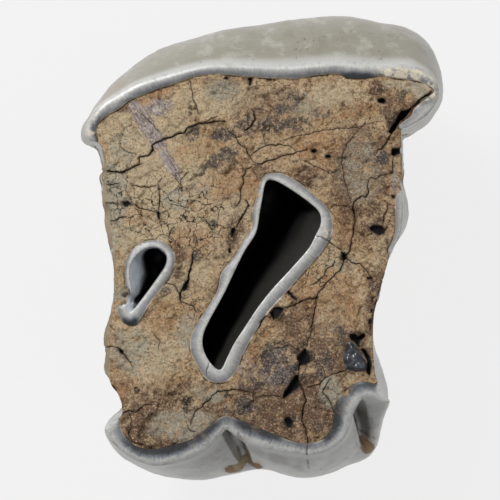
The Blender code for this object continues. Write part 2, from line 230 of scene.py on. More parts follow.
# Open cracks: the width and depth at the middle, then the way over the face
CRACKS = [
    (0.42, 0.7, [(99, 177), (103, 171), (112, 171), (123.6, 172.8), (126, 169), (134, 167), (139.5, 164)]),
    (0.40, 0.7, [(138, 165), (139, 157.5), (146.5, 156), (153.5, 150.5), (151.6, 145.4), (156.7, 141.6),
                 (167, 138.4), (176, 134.6), (183.5, 132.7), (187.3, 127.6), (197.6, 123.7), (204, 123),
                 (213, 121.5), (223.8, 121)]),
    (0.20, 0.4, [(226, 126), (229, 131), (235, 136), (239, 144), (246, 149), (250, 156), (254, 163),
                 (260, 163.5), (267, 161)]),
    (0.20, 0.4, [(233, 137), (238, 137.5), (242, 136)]),
    (0.24, 0.4, [(252, 155), (258, 149), (264, 146), (270, 145), (289, 145), (297, 151)]),
    (0.16, 0.3, [(265, 132), (264, 138), (265, 144)]),
    (0.26, 0.4, [(253, 165), (262, 164), (268, 161), (276, 158), (284, 156), (297, 152), (308, 150)]),
    (0.26, 0.5, [(252, 166), (245, 170), (243, 178), (244, 182), (240, 190), (240, 200), (237, 206)]),
    (0.36, 0.5, [(246, 200), (249, 205), (247, 209), (240, 219), (236, 228)]),
    (0.42, 0.5, [(251, 109), (254, 113), (255, 119), (252, 124), (248, 128), (245, 130.5)]),
    (0.22, 0.3, [(190.5, 81.6), (191.2, 92), (194, 101), (197.6, 110), (198.8, 113.5)]),
    (0.20, 0.3, [(203.9, 121), (211, 119), (218, 116)]),
    (0.20, 0.3, [(131, 185), (144, 187), (159, 185.6)]),
    (0.24, 0.4, [(159.7, 186), (158, 194), (159.7, 202), (158.5, 213)]),
    (0.22, 0.3, [(126, 203), (131, 203.6), (143.8, 209.3), (156.5, 212)]),
    (0.16, 0.3, [(170, 204), (176, 206), (183, 206)]),
    (0.20, 0.3, [(170, 236), (171, 230), (175, 227)]),
    (0.18, 0.3, [(180, 188), (181, 180), (188, 172)]),
    (0.24, 0.5, [(393.5, 155), (393, 172.5), (382, 175), (378, 178), (370, 178), (368, 186), (369, 192),
                 (366, 197), (361, 196), (353, 204), (354, 210), (355, 222), (353, 235), (350, 250),
                 (347, 256), (341, 268.6), (334.8, 275), (325, 285), (318, 293), (316, 305),
                 (313, 320), (311, 333), (306, 346)]),
    (0.28, 0.7, [(299, 361), (299, 375)]),
    (0.34, 0.8, [(300, 384), (304, 394), (307, 401), (303, 408), (302, 420), (306, 430), (308, 443)]),
    (0.18, 0.3, [(307.5, 443), (307, 450), (308, 462), (309, 470)]),
    (0.20, 0.3, [(353, 207), (343, 206), (334, 205), (332, 209)]),
    (0.16, 0.3, [(346, 256), (340, 251), (333, 244), (326, 240), (314, 234)]),
    (0.24, 0.4, [(346, 259), (352, 263), (360, 264), (365, 270), (372, 278)]),
    (0.22, 0.3, [(335, 260), (333, 266), (325, 270), (323, 276), (316, 283), (309, 285)]),
    (0.26, 0.5, [(318, 298), (308, 298), (300, 303), (286, 308)]),
    (0.30, 0.6, [(268, 315), (262, 320), (258, 327)]),
    (0.24, 0.4, [(306.7, 388), (319.5, 384), (326, 378), (333, 374), (345, 371), (352, 369)]),
    (0.24, 0.4, [(329.7, 379), (322.7, 392), (331, 402), (334.8, 412)]),
    (0.26, 0.5, [(190, 425), (196, 410), (210, 400), (211, 396), (217, 392), (226, 390.5), (241, 390),
                 (248, 392), (252, 394)]),
    (0.18, 0.3, [(256, 397), (268, 396), (281, 396.5)]),
    (0.26, 0.4, [(120, 412), (129, 411.5), (137, 412), (143, 405), (150, 405)]),
    (0.24, 0.4, [(129, 412), (131, 420), (131, 428), (128, 435), (133, 442), (143, 446), (151, 448)]),
    (0.40, 0.8, [(193, 254), (190, 270), (188, 280), (182, 290), (180, 298)]),
    (0.20, 0.4, [(166, 283), (176, 286), (179, 293), (179, 299), (188, 306), (193, 306), (197, 313)]),
    (0.20, 0.3, [(109, 325), (114, 331)]),
    (0.22, 0.4, [(104, 347), (118, 347), (124, 355), (133, 367)]),
    (0.20, 0.4, [(388, 203), (387, 210), (384, 216), (383, 225), (387, 231)]),
    (0.16, 0.3, [(172, 441), (173, 446)]),
    (0.20, 0.3, [(187, 426), (189, 430), (196, 433)]),
    (0.50, 0.9, [(411, 109), (417, 103), (423, 98), (430, 92)]),
    (0.30, 0.6, [(391, 133), (389, 139), (385, 146), (379, 150)]),
    (0.26, 0.4, [(104, 184), (111, 184.5), (119, 183)]),
    (0.24, 0.4, [(105, 203), (112, 203), (118, 206)]),
    (0.28, 0.5, [(107, 221), (115, 221), (120, 217), (126, 217)]),
    (0.22, 0.5, [(106, 383), (113, 386), (119, 396)]),
    (0.16, 0.3, [(210, 363), (207, 369), (206, 376)]),
    (0.16, 0.3, [(131, 293), (136, 291), (141, 288)]),
    (0.18, 0.3, [(390, 256), (386, 270), (381, 285), (377, 300), (373, 315), (370, 330)]),
    (0.16, 0.2, [(140, 113), (150, 122), (158, 131)]),
    (0.16, 0.2, [(120, 146), (127, 152), (136, 154)]),
    (0.14, 0.2, [(152, 330), (160, 342), (158, 352)]),
    (0.15, 0.2, [(285, 140), (298, 136), (312, 133), (325, 130), (340, 128), (357, 127), (370, 123),
                 (382, 121)]),
    (0.17, 0.2, [(367, 118), (365, 124), (355, 134), (347, 144), (342, 155), (343, 170), (347, 188),
                 (351, 204)]),
    (0.15, 0.2, [(303, 160), (314, 166), (326, 171), (334, 176)]),
    (0.14, 0.2, [(196, 216), (206, 221), (212, 230)]),
    (0.14, 0.2, [(300, 350), (288, 345), (276, 349)]),
    (0.14, 0.2, [(312, 362), (322, 366), (326, 378)]),
]

# Holes and gaps with a floor: the depth, then the outline
HOLES = [
    (2.4, [(411, 107), (406, 109.5), (401, 110), (398, 115), (395, 121), (391, 126), (388, 132),
           (391.5, 135), (396, 130), (399, 125), (401.5, 121.5), (405, 119), (409, 114), (412, 110)]),
    (1.2, [(377, 98), (384, 97), (388, 101), (384, 104.5), (378, 103)]),
    (0.9, [(223, 76), (229, 76), (228.5, 80), (223.5, 80)]),
    (0.9, [(247, 77), (254, 77.5), (252, 84), (249, 90), (248, 84)]),
    (0.8, [(266, 78.5), (276, 79), (275.5, 81.5), (267, 81)]),
    (1.0, [(231, 227), (237, 228), (234, 236), (231, 240), (230, 232)]),
    (0.8, [(227, 247), (231, 246), (232, 253), (228, 254)]),
    (0.9, [(156, 212), (160, 211), (161, 219), (157, 221)]),
    (1.1, [(305.5, 347), (310, 355), (312, 362), (306, 366), (300, 366), (298, 361), (295, 359),
           (300, 353)]),
    (1.4, [(299, 374), (301, 383), (300, 388), (292, 394), (284, 399.5), (281.5, 399.5), (284, 391),
           (290, 383), (294, 376)]),
    (0.9, [(268.5, 313), (275, 306), (286, 307), (282, 313), (279, 318), (273, 321)]),
    (0.9, [(286, 293), (289, 290), (295, 296), (301, 303), (293, 300)]),
    (0.7, [(283, 418), (289, 416), (294, 422), (292, 429), (286, 427)]),
    (0.8, [(341, 253), (347, 252), (348, 259), (343, 262)]),
    (0.9, [(369, 227), (374, 224), (382, 225), (387, 230), (384, 235), (378, 236), (370, 231)]),
    (1.3, [(391, 148), (402, 147), (402, 153), (395, 157), (391, 155)]),
    (0.8, [(391, 195), (396, 194), (395.5, 199), (391.5, 199)]),
    (1.5, [(348, 334), (355, 333), (358, 336), (363, 333), (366, 334), (366, 338), (361, 341),
           (360, 348), (366, 349), (371, 357), (373, 366), (372, 372), (370, 377), (366, 373),
           (367, 362), (362, 352), (356, 345), (351, 341)]),
    (0.7, [(308, 149), (316, 148), (320, 152), (313, 154)]),
    (0.7, [(324, 154), (331, 154), (333, 158), (326, 159)]),
    (0.8, [(366, 276), (374, 277), (373, 280), (367, 280)]),
    (0.8, [(118, 349), (124, 350), (124, 357), (119, 354)]),
    (0.6, [(122, 201), (129, 200), (131, 204), (127, 208), (122, 206)]),
    (0.7, [(186, 281), (190, 280), (187, 290), (182, 294), (183, 288)]),
    (0.6, [(371, 297), (375, 296), (374, 302), (371, 303)]),
    (0.6, [(370, 308), (374, 307), (373, 313), (370, 314)]),
    (0.6, [(368, 319), (372, 318), (371, 325), (368, 326)]),
]

# A smooth dark nodule stands in the crevice near the back fold
NODULE = [
    (350, 342), (357, 347), (362, 355), (367, 363), (366, 371), (350, 371), (345, 366),
    (343, 358), (345, 349),
]
NODULE_RISE = 0.9

# Stains and patches of another colour: the middle, the two half widths in pixels, the turn in
# degrees clockwise, and the strength. The dark ones are partly stains and partly painted shade.
STAINS = {
    "ochre": [
        (240, 190, 34, 24, 0, 0.8), (198, 150, 40, 16, -10, 0.45), (330, 150, 50, 26, 10, 0.6),
        (345, 220, 16, 30, 0, 0.8), (325, 300, 36, 40, 20, 0.7), (135, 215, 20, 14, 0, 0.6),
        (190, 245, 26, 24, 0, 0.7), (120, 396, 10, 16, 0, 0.9), (165, 320, 30, 20, -40, 0.6),
        (258, 345, 10, 26, 30, 0.6), (300, 408, 30, 14, 0, 0.5), (350, 305, 12, 34, 0, 0.6),
        (150, 97, 26, 6, -22, 0.7), (100, 150, 12, 14, 0, 0.5), (348, 392, 8, 6, 0, 0.8),
        (380, 88, 9, 9, 0, 0.8), (225, 405, 30, 8, 0, 0.5), (360, 112, 26, 10, -10, 0.6),
    ],
    "umber": [
        (290, 405, 66, 40, 0, 0.75), (360, 180, 34, 62, 0, 0.5), (335, 350, 36, 30, 0, 0.6),
        (215, 430, 60, 16, 0, 0.6), (150, 435, 40, 12, 0, 0.5), (375, 300, 10, 40, 5, 0.6),
        (270, 110, 40, 26, 0, 0.35), (222, 88, 22, 14, 0, 0.4), (396, 110, 20, 16, 0, 0.5),
        (178, 262, 10, 24, 0, 0.4), (300, 330, 22, 30, 0, 0.5), (235, 230, 10, 22, 10, 0.5),
        (125, 105, 14, 8, -20, 0.5), (193, 390, 24, 14, 0, 0.4), (340, 405, 12, 26, 10, 0.6),
        (262, 172, 14, 8, 0, 0.4), (305, 175, 16, 14, 30, 0.5), (180, 425, 80, 40, 0, 0.55),
        (379, 88, 9, 8, 0, 1.2), (418, 97, 14, 6, -40, 0.7), (345, 180, 9, 30, 5, 0.8),
    ],
    "sandy": [
        (150, 190, 56, 80, 0, 0.9), (140, 135, 50, 34, -20, 0.9), (210, 100, 60, 18, -8, 0.7),
        (235, 200, 30, 30, 0, 0.6), (180, 250, 40, 50, 0, 0.6), (330, 95, 40, 14, 0, 0.5),
        (150, 350, 36, 30, 0, 0.5), (330, 280, 20, 40, 20, 0.4),
    ],
    "pale": [
        (170, 112, 16, 10, -8, 0.3), (200, 95, 22, 10, -8, 0.4), (130, 135, 16, 18, 0, 0.5),
        (125, 235, 16, 14, 0, 0.6), (320, 100, 30, 12, 0, 0.45), (150, 360, 30, 26, 0, 0.5),
        (185, 172, 20, 8, 0, 0.4), (235, 205, 18, 14, 0, 0.6), (404, 74, 24, 7, 5, 1.0),
        (400, 84, 22, 6, 5, 0.9), (112, 195, 8, 27, 0, 0.3), (200, 392, 14, 10, 0, 0.4),
        (378, 260, 7, 18, 12, 0.5), (330, 235, 10, 14, 0, 0.4), (175, 350, 18, 14, -30, 0.5),
        (330, 320, 20, 24, 20, 0.45), (92, 128, 7, 14, 20, 0.6), (215, 225, 14, 14, 0, 0.4),
        (425, 88, 18, 16, 0, 0.9),
    ],
    "cementum": [
        (112, 195, 15, 31, 0, 1.9), (112, 240, 6, 24, 0, 0.7), (174, 200, 14, 11, 0, 0.8),
        (120, 150, 14, 20, 0, 0.4), (222, 90, 20, 14, 0, 0.5), (186, 330, 12, 20, 0, 0.5),
        (130, 350, 20, 26, 0, 0.5), (186, 425, 44, 18, 0, 0.55), (330, 392, 12, 18, 0, 0.8),
        (212, 396, 14, 8, 0, 0.6), (360, 170, 26, 40, 0, 0.35), (122, 294, 9, 8, 0, 0.7),
        (420, 88, 16, 8, 10, 0.7), (300, 110, 26, 14, 0, 0.3), (345, 262, 16, 14, 0, 0.3),
    ],
    "lilac": [
        (158, 107, 16, 9, -8, 1.0), (142, 117, 8, 20, -34, 1.8), (154, 137, 7, 20, -33, 1.8),
        (168, 160, 5.5, 22, -32, 1.7), (277, 368, 24, 28, 25, 0.5), (108, 236, 4, 22, 0, 0.6),
        (200, 188, 16, 8, 0, 0.4),
        (395, 180, 4, 18, 0, 0.7), (182, 190, 12, 6, 0, 0.4), (244, 372, 16, 18, 0, 0.4),
    ],
    "grey": [
        (193, 134, 7, 11, 10, 0.9), (222, 134, 13, 8, -10, 1.0), (220, 158, 22, 9, -28, 0.85),
        (246, 124, 12, 12, 0, 0.7), (294, 96, 16, 8, 0, 0.7), (270, 126, 20, 9, 0, 1.0),
        (296, 124, 20, 9, -10, 0.75), (284, 108, 18, 8, -20, 0.6), (320, 112, 16, 8, 10, 0.5),
        (274, 360, 22, 24, 25, 0.75), (256, 384, 20, 10, 0, 0.6), (382, 158, 9, 9, 0, 1.0),
        (372, 287, 5, 9, 0, 0.7), (341, 335, 10, 16, 0, 0.5), (322, 362, 16, 18, 0, 0.6),
        (320, 425, 12, 14, 0, 0.4), (166, 292, 8, 7, 0, 0.6), (197, 256, 7, 8, 0, 0.7),
        (213, 226, 8, 9, 0, 0.5), (196, 236, 6, 10, 0, 0.5), (222, 86, 14, 7, 0, 0.4),
        (240, 408, 26, 8, 0, 0.4), (402, 96, 12, 8, 10, 0.5),
        (284, 372, 18, 13, -45, 1.1), (246, 406, 16, 11, 0, 0.9),
    ],
    # Dark patches, most of them round holes and cracks: partly dark stains, partly painted shade of the
    # hollows beside them
    "dark": [
        (272, 128, 10, 5, 0, 0.7), (222, 134, 6, 4, 0, 0.5), (378, 92, 9, 8, 0, 0.5),
        (228, 394, 12, 4, 0, 0.6), (187, 404, 6, 10, 0, 0.9), (137, 390, 4, 4, 0, 0.9),
        (289, 423, 8, 9, 0, 0.9), (300, 372, 16, 26, 20, 0.45), (394, 122, 12, 12, 30, 0.6),
        (304, 353, 12, 14, 0, 0.6), (278, 312, 11, 9, 0, 0.6), (185, 286, 6, 10, 0, 0.5),
        (124, 293, 6, 6, 0, 0.6), (360, 340, 14, 12, 0, 0.5), (232, 236, 5, 14, 10, 0.6),
        (397, 152, 8, 8, 0, 0.5), (345, 257, 8, 8, 0, 0.6), (124, 427, 7, 10, 0, 0.5),
        (205, 376, 5, 6, 0, 0.6), (376, 230, 11, 8, 0, 0.4),
    ],
    "jointed": [
        (178, 215, 70, 50, 0, 1.0), (120, 190, 22, 40, 0, 0.8), (170, 300, 40, 30, 0, 0.5),
        (318, 270, 40, 40, 0, 0.7), (255, 350, 16, 30, 0, 0.6), (130, 130, 26, 20, 0, 0.5),
        (330, 400, 26, 30, 0, 0.6), (225, 165, 30, 16, 0, 0.5), (150, 400, 30, 26, 0, 0.4),
        (385, 220, 16, 50, 0, 0.6), (250, 410, 40, 16, 0, 0.4),
    ],
}

# Where the enamel has broken away from the rim, and the marks on the outer wall: stains, and painted shade
# in its grooves and folds
BARE_WALL = [(103, 185, 16, 42, 0, 1.0), (112, 300, 14, 50, 0, 1.0), (404, 158, 12, 27, 0, 1.0),
             (382, 288, 12, 34, 0, 1.0), (118, 400, 14, 22, 0, 1.0)]
WALL_STAINS = {
    "cement": [
        (238, 469, 14, 6, 0, 1.0), (254, 466, 9, 6, 10, 1.0), (369, 449, 8, 7, 0, 1.0),
        (107, 225, 8, 42, 0, 0.9), (107, 325, 8, 72, 0, 0.9), (106, 400, 9, 26, 0, 0.9),
    ],
    "ochre": [
        (230, 470, 9, 5, 0, 0.7), (255, 464, 9, 6, 10, 0.7), (369, 448, 9, 8, 0, 0.6),
        (245, 452, 5, 14, -20, 0.5), (110, 92, 8, 22, 50, 0.35),
    ],
    # Painted shade down the grooves and folds of the outer wall
    "dark": [
        (233, 439, 3, 11, -35, 0.9), (242, 455, 2.5, 13, -15, 0.9), (256, 450, 5, 14, -60, 0.5),
        (278, 459, 5, 15, -68, 0.45), (361, 420, 5, 22, -12, 1.0), (369, 426, 6, 18, -10, 0.6),
        (372, 438.5, 9, 1.6, 0, 0.8), (365, 446, 3, 7, 0, 0.4),
    ],
}

# Grooves down the outer wall: the depth, the half width, and the way down as the camera sees it
GROOVES = [
    (2.0, 1.3, [(359, 405), (362, 418), (365, 430), (367, 442)]),
    (1.8, 1.3, [(228, 431), (236, 444), (242, 456), (249, 470)]),
]

# Where the enamel next to the dentine is stained dark: the middle, the half widths, the turn and
# the strength, as above
DARK_ENAMEL = [
    (160, 445, 46, 24, -8, 1.0), (255, 434, 34, 22, 18, 0.9), (334, 424, 13, 28, 12, 0.9),
    (362, 390, 24, 12, 0, 0.7), (206, 434, 22, 16, -38, 0.8), (300, 448, 34, 10, 0, 0.5),
    (358, 77, 22, 8, 0, 0.8), (310, 76, 40, 7, 0, 0.35), (230, 74, 60, 6, 0, 0.25),
    (150, 92, 30, 8, -22, 0.3), (95, 128, 8, 18, 20, 0.5), (130, 321, 10, 7, 0, 0.9),
    (130, 262, 6, 14, 10, 0.3),
]


def plan(points):
    """Pixels of the photograph as millimetres on the chewing face, +Y towards the cheek."""
    pixels = np.array(points, float)
    return (pixels - PLAN_CENTRE) * (PIXEL, -PIXEL)


CAMERA_SPOT = plan([(PHOTO_SIDE / 2, PHOTO_SIDE / 2)])[0]


def step(low, high, value):
    """A smooth rise from 0 to 1 between two values."""
    share = np.clip((value - low) / (high - low), 0, 1)
    return share * share * (3 - 2 * share)


def curve(points, parts, closed):
    """A smooth curve through the points, with so many parts between each two."""
    points = np.asarray(points, float)
    if closed:
        padded = np.concatenate([points[-1:], points, points[:2]])
    else:
        padded = np.concatenate([2 * points[:1] - points[1:2], points, 2 * points[-1:] - points[-2:-1]])
    t = (np.arange(parts) / parts)[:, None]
    pieces = []
    for before, start, end, after in zip(padded, padded[1:], padded[2:], padded[3:]):
        bend = 2 * before - 5 * start + 4 * end - after
        twist = 3 * start - before - 3 * end + after
        pieces.append(start + ((end - before) * t + bend * t ** 2 + twist * t ** 3) / 2)
    if not closed:
        pieces.append(points[-1:])
    return np.concatenate(pieces)


def spaced(line, spacing, closed):
    """The same line with its points evenly spaced by its first two columns."""
    if closed:
        line = np.concatenate([line, line[:1]])
    lengths = np.hypot(*np.diff(line[:, :2], axis=0).T)
    along = np.concatenate([[0], np.cumsum(lengths)])
    count = max(2, round(along[-1] / spacing))
    places = np.linspace(0, along[-1], count + 1)
    if closed:
        places = places[:-1]
    return np.stack([np.interp(places, along, column) for column in line.T], 1)


def smooth_outline(points, spacing, closed=True):
    """A smooth outline in millimetres through pixels of the photograph, evenly spaced."""
    return spaced(curve(plan(points), 8, closed), spacing, closed)


def closed_line(outline):
    """An outline with its first point again at its end."""
    return np.concatenate([outline, outline[:1]])


def nearest_on(line, points, reach):
    """Each point's distance from a line, up to a reach, and how far along the line that is."""
    distance = np.full(len(points), float(reach))
    along = np.zeros(len(points))
    near = np.flatnonzero(((points > line.min(0) - reach) & (points < line.max(0) + reach)).all(1))
    spots, best, way = points[near], distance[near], along[near]
    passed = 0.0
    for start, end in zip(line, line[1:]):
        stretch = end - start
        length = math.hypot(*stretch)
        share = np.clip((spots - start) @ stretch / length ** 2, 0, 1)
        gap = np.hypot(*(spots - start - share[:, None] * stretch).T)
        closer = gap < best
        best[closer] = gap[closer]
        way[closer] = passed + share[closer] * length
        passed += length
    distance[near], along[near] = best, way
    return distance, along


def inside(points, outline):
    """Which points lie inside a closed outline."""
    x, y = points.T
    within = np.zeros(len(points), bool)
    for (x1, y1), (x2, y2) in zip(outline, np.roll(outline, -1, axis=0)):
        if y1 != y2:
            crosses = (y1 > y) != (y2 > y)
            within ^= crosses & (x < (x2 - x1) * (y - y1) / (y2 - y1) + x1)
    return within


def depth_inside(points, outline, reach):
    """How far each point lies inside a closed outline, and outside it as a negative value."""
    distance, along = nearest_on(closed_line(outline), points, reach)
    return np.where(inside(points, outline), distance, -distance), along


def rough(points, size, seed, octaves=3):
    """Natural unevenness of about -1 to 1, with its largest swells about one size across."""
    shift = Vector((seed, -seed, seed))
    places = np.zeros((len(points), 3))
    places[:, :points.shape[1]] = points / size
    return np.array([noise.fractal(Vector(place) + shift, 1.0, 2.0, octaves) for place in places.tolist()])


def flakes(points, size, seed):
    """A height of about -1 to 1 for each crumbled flake, which is the same all over the flake."""
    heights = []
    for x, y in (points / size).tolist():
        middle = noise.voronoi(Vector((x + seed, y, seed)))[1][0]
        heights.append(noise.noise(middle * 7.3))
    return np.array(heights) * 2


def rim_rows():
    """The chewing edge and the outermost wall seen below it, in millimetres, clockwise."""
    rows = np.array(CHEEK_RIM + BACK_RIM + TONGUE_RIM + FRONT_RIM, float)
    both = np.column_stack([plan(rows[:, :2]), plan(rows[:, 2:])])
    both = spaced(curve(both, 8, True), RIM_SPACING, True)
    return both[:, :2], both[:, 2:]


def bulge(depth):
    """How far the wall has come out at a depth below the edge, up to 1 where it is widest."""
    return 1 - (1 - np.clip(depth / (TOOTH_HEIGHT - WIDEST_HEIGHT), 0, 1)) ** 2


def true_wall(edge, seen):
    """The widest outline of the wall, from the outline that the camera sees of it."""
    way = seen - edge
    wanted = np.hypot(*way.T)
    way = way / wanted[:, None]
    outward = ((edge - CAMERA_SPOT) * way).sum(1)
    depths = np.linspace(0, TOOTH_HEIGHT - WIDEST_HEIGHT, 37)[:, None]
    nearer = CAMERA_RISE / (CAMERA_RISE + depths)
    low, high = np.zeros(len(edge)), np.full(len(edge), 12.0)
    for _ in range(24):
        reach = (low + high) / 2
        shown = (outward * (nearer - 1) + reach * bulge(depths) * nearer).max(0)
        low = np.where(shown < wanted, reach, low)
        high = np.where(shown < wanted, high, reach)
    return edge + way * reach[:, None]


def relaxed(loop, passes):
    """A closed loop with its bends eased."""
    for _ in range(passes):
        loop = (np.roll(loop, 1, axis=0) + 2 * loop + np.roll(loop, -1, axis=0)) / 4
    return loop


def crack_lines():
    """Each crack as an uneven line: its points, its half width at each of them and its depth."""
    lines = []
    for width, depth, points in CRACKS:
        line = spaced(plan(points), CRACK_SPACING, False)
        shake = np.stack([rough(line, 0.9, 4.2, 3), rough(line, 0.9, 9.1, 3)], 1)
        line = line + 0.22 * shake
        share = np.linspace(0, 1, len(line))
        taper = (0.4 + 0.6 * np.sin(np.pi * share) ** 0.5) * (1 + 0.45 * rough(line, 1.0, 14.0, 2))
        lines.append((line, width / 2 * taper, depth))
    return lines


RIM, SEEN_WALL = rim_rows()
WALL = relaxed(true_wall(RIM, SEEN_WALL), WALL_EASING)
DENTINE_LINE = smooth_outline(DENTINE, LINE_SPACING)
LONG_RING_LINE = smooth_outline(LONG_RING, LINE_SPACING)
HOOK_RING_LINE = smooth_outline(HOOK_RING, LINE_SPACING)
LONG_MOUTH_LINE = smooth_outline(LONG_MOUTH, MOUTH_SPACING)
HOOK_MOUTH_LINE = smooth_outline(HOOK_MOUTH, MOUTH_SPACING)
NODULE_LINE = smooth_outline(NODULE, LINE_SPACING)
BREAK_LINES = [smooth_outline(outline, LINE_SPACING) for outline in BREAKS]
CRACK_LINES = crack_lines()
HOLE_LINES = [(depth, spaced(plan(outline), CRACK_SPACING, True)) for depth, outline in HOLES]


def blot(points, patches):
    """How strongly a set of patches marks each point, fading out towards their borders."""
    ragged = 0.2 * rough(points, 1.6, 12.0, 3)
    strongest = np.zeros(len(points))
    for u, v, half_u, half_v, turn, strength in patches:
        away = points - plan([(u, v)])[0]
        angle = math.radians(-turn)
        x = away @ (math.cos(angle), math.sin(angle)) / (half_u * PIXEL)
        y = away @ (-math.sin(angle), math.cos(angle)) / (half_v * PIXEL)
        stain = strength * (1 - step(0.45, 1.3, np.hypot(x, y) + ragged))
        strongest = np.maximum(strongest, stain)
    return np.minimum(strongest, 1)


def cracks_at(points):
    """How dark the cracks and holes make each point, how rusty they make it and how far it sinks."""
    dark = np.zeros(len(points))
    rusty = np.zeros(len(points))
    sunk = np.zeros(len(points))
    for line, half_widths, depth in CRACK_LINES:
        distance, along = nearest_on(line, points, 0.9)
        places = np.linspace(0, 1, len(line)) * np.hypot(*np.diff(line, axis=0).T).sum()
        near = distance / np.interp(along, places, half_widths)
        dark = np.maximum(dark, 1 - step(0.5, 1.2, near))
        rusty = np.maximum(rusty, depth * (1 - step(0, 0.8, distance)))
        sunk = np.maximum(sunk, depth * (1 - np.clip(near, 0, 1)))
    # Each hole is coloured near black inside: painted shade of the hollow, on top of its real sinking
    for depth, outline in HOLE_LINES:
        within, _ = depth_inside(points, outline, 1.0)
        dark = np.maximum(dark, step(-0.05, 0.15, within))
        rusty = np.maximum(rusty, 0.7 * step(-0.8, 0, within))
        sunk = np.maximum(sunk, depth * step(-0.02, 0.35, within))
    ragged = 0.5 + 0.8 * rough(points, 0.9, 17.0, 3)
    return dark, np.clip(rusty * ragged, 0, 0.8), sunk


def face_marks(points):
    """What the chewing face is at each point: its layer, its cracks and its stains, with painted shade in
    its holes and along the enamel's border.
    """
    in_dentine, along = depth_inside(points, DENTINE_LINE, 8.0)
    in_ring, ring_along = depth_inside(points, LONG_RING_LINE, 8.0)
    in_hook, hook_along = depth_inside(points, HOOK_RING_LINE, 8.0)
    for outline in BREAK_LINES:
        in_hook = np.minimum(in_hook, -depth_inside(points, outline, 8.0)[0])
    from_edge = nearest_on(closed_line(RIM), points, 8.0)[0]
    from_mouth = np.minimum(nearest_on(closed_line(LONG_MOUTH_LINE), points, 8.0)[0],
                            nearest_on(closed_line(HOOK_MOUTH_LINE), points, 8.0)[0])
    ringed = np.maximum(in_ring, in_hook)
    in_enamel = np.maximum(-in_dentine, ringed)
    half_step = STEP_WIDTH / 2
    free = np.minimum(from_edge, from_mouth)
    depth_of_enamel = np.maximum(in_enamel, 0)
    in_dentine_only = np.maximum(np.minimum(in_dentine, -ringed), 0)
    border = np.where(-in_dentine >= ringed, along, np.where(in_ring > in_hook, ring_along, hook_along))
    dark, rusty, sunk = cracks_at(points)
    # A thin dark line on the dentine along its border with the enamel: a shallow real gap, its darkness
    # partly painted shade
    gap = (1 - step(0.02, 0.22, in_dentine_only)) * step(-0.35, 0.25, rough(points, 1.8, 19.0))
    marks = {
        "enamel": step(-half_step, half_step, in_enamel),
        "in_enamel": in_enamel,
        "in_dentine": in_dentine_only,
        "ringed": ringed > 0,
        "across": np.where(in_enamel > 0, depth_of_enamel / (depth_of_enamel + free + 1e-6), 0),
        "along": border,
        "from_edge": from_edge,
        "from_mouth": from_mouth,
        "nodule": np.maximum(depth_inside(points, NODULE_LINE, 2.0)[0], 0),
        "crack": np.maximum(dark, 0.75 * gap * (in_enamel <= 0)),
        "halo": rusty,
        "sunk": sunk + 0.25 * gap * (in_enamel <= 0),
        "dark_enamel": blot(points, DARK_ENAMEL),
        "cement": blot(points, BARE_WALL),
    }
    for name, patches in STAINS.items():
        marks[name] = blot(points, patches)
    return marks


def face_height(points, marks):
    """The height of the chewing face above the ground."""
    swell = rough(points, 7.0, 3.1)
    crumble = rough(points, 1.4, 7.7, 4)
    basin = BASIN_DEPTH * step(0, 13, marks["in_dentine"])
    torn = points + 0.6 * np.stack([rough(points, 1.4, 61.0, 3), rough(points, 1.4, 63.0, 3)], 1)
    ledges = 0.34 * flakes(torn, 3.4, 2.0) + 0.24 * flakes(torn, 1.4, 5.0)
    ledges = ledges * step(0, 0.8, marks["in_dentine"])
    dentine = TOOTH_HEIGHT - DENTINE_DROP - basin + 0.25 * swell + 0.22 * crumble + ledges
    across = marks["across"]
    enamel = TOOTH_HEIGHT - 0.05 - ENAMEL_FALL * (1 - across) ** 2 + 0.07 * swell
    enamel = enamel - 0.22 * marks["ringed"]
    height = dentine + (enamel - dentine) * marks["enamel"]
    rounding = (1 - np.clip(marks["from_edge"] / RIM_ROUNDING, 0, 1)) ** 2
    height = height - RIM_FALL * rounding * (0.35 + 0.65 * marks["enamel"])
    height = height - MOUTH_FALL * (1 - np.clip(marks["from_mouth"] / MOUTH_ROUNDING, 0, 1)) ** 2
    height = height - marks["sunk"]
    return height + NODULE_RISE * step(0, 0.7, marks["nodule"]) * (1 - 0.4 * step(0.5, 2, marks["nodule"]))


def beside(line, distance, closed):
    """A line at a distance to the side of another."""
    if closed:
        way = np.roll(line, -1, axis=0) - np.roll(line, 1, axis=0)
    else:
        way = np.gradient(line, axis=0)
    side = np.stack([way[:, 1], -way[:, 0]], 1)
    return line + side / np.hypot(*side.T)[:, None] * np.reshape(distance, (-1, 1))


def scattered(low, high, spacing, seed):
    """Points over a rectangle, about as far apart as asked, and not in rows."""
    draws = np.random.default_rng(seed)
    across = np.arange(low[0], high[0], spacing)
    down = np.arange(low[1], high[1], spacing * 0.866)
    grid = np.stack(np.meshgrid(across, down), -1)
    grid[1::2, :, 0] += spacing / 2
    grid = grid.reshape(-1, 2)
    return grid + draws.uniform(-0.3, 0.3, grid.shape) * spacing


def clear_of(points, others, gap):
    """Which points have none of the others within a gap."""
    tree = kdtree.KDTree(len(others))
    for i, (x, y) in enumerate(others.tolist()):
        tree.insert((x, y, 0), i)
    tree.balance()
    return np.array([tree.find((x, y, 0))[2] >= gap for x, y in points.tolist()])


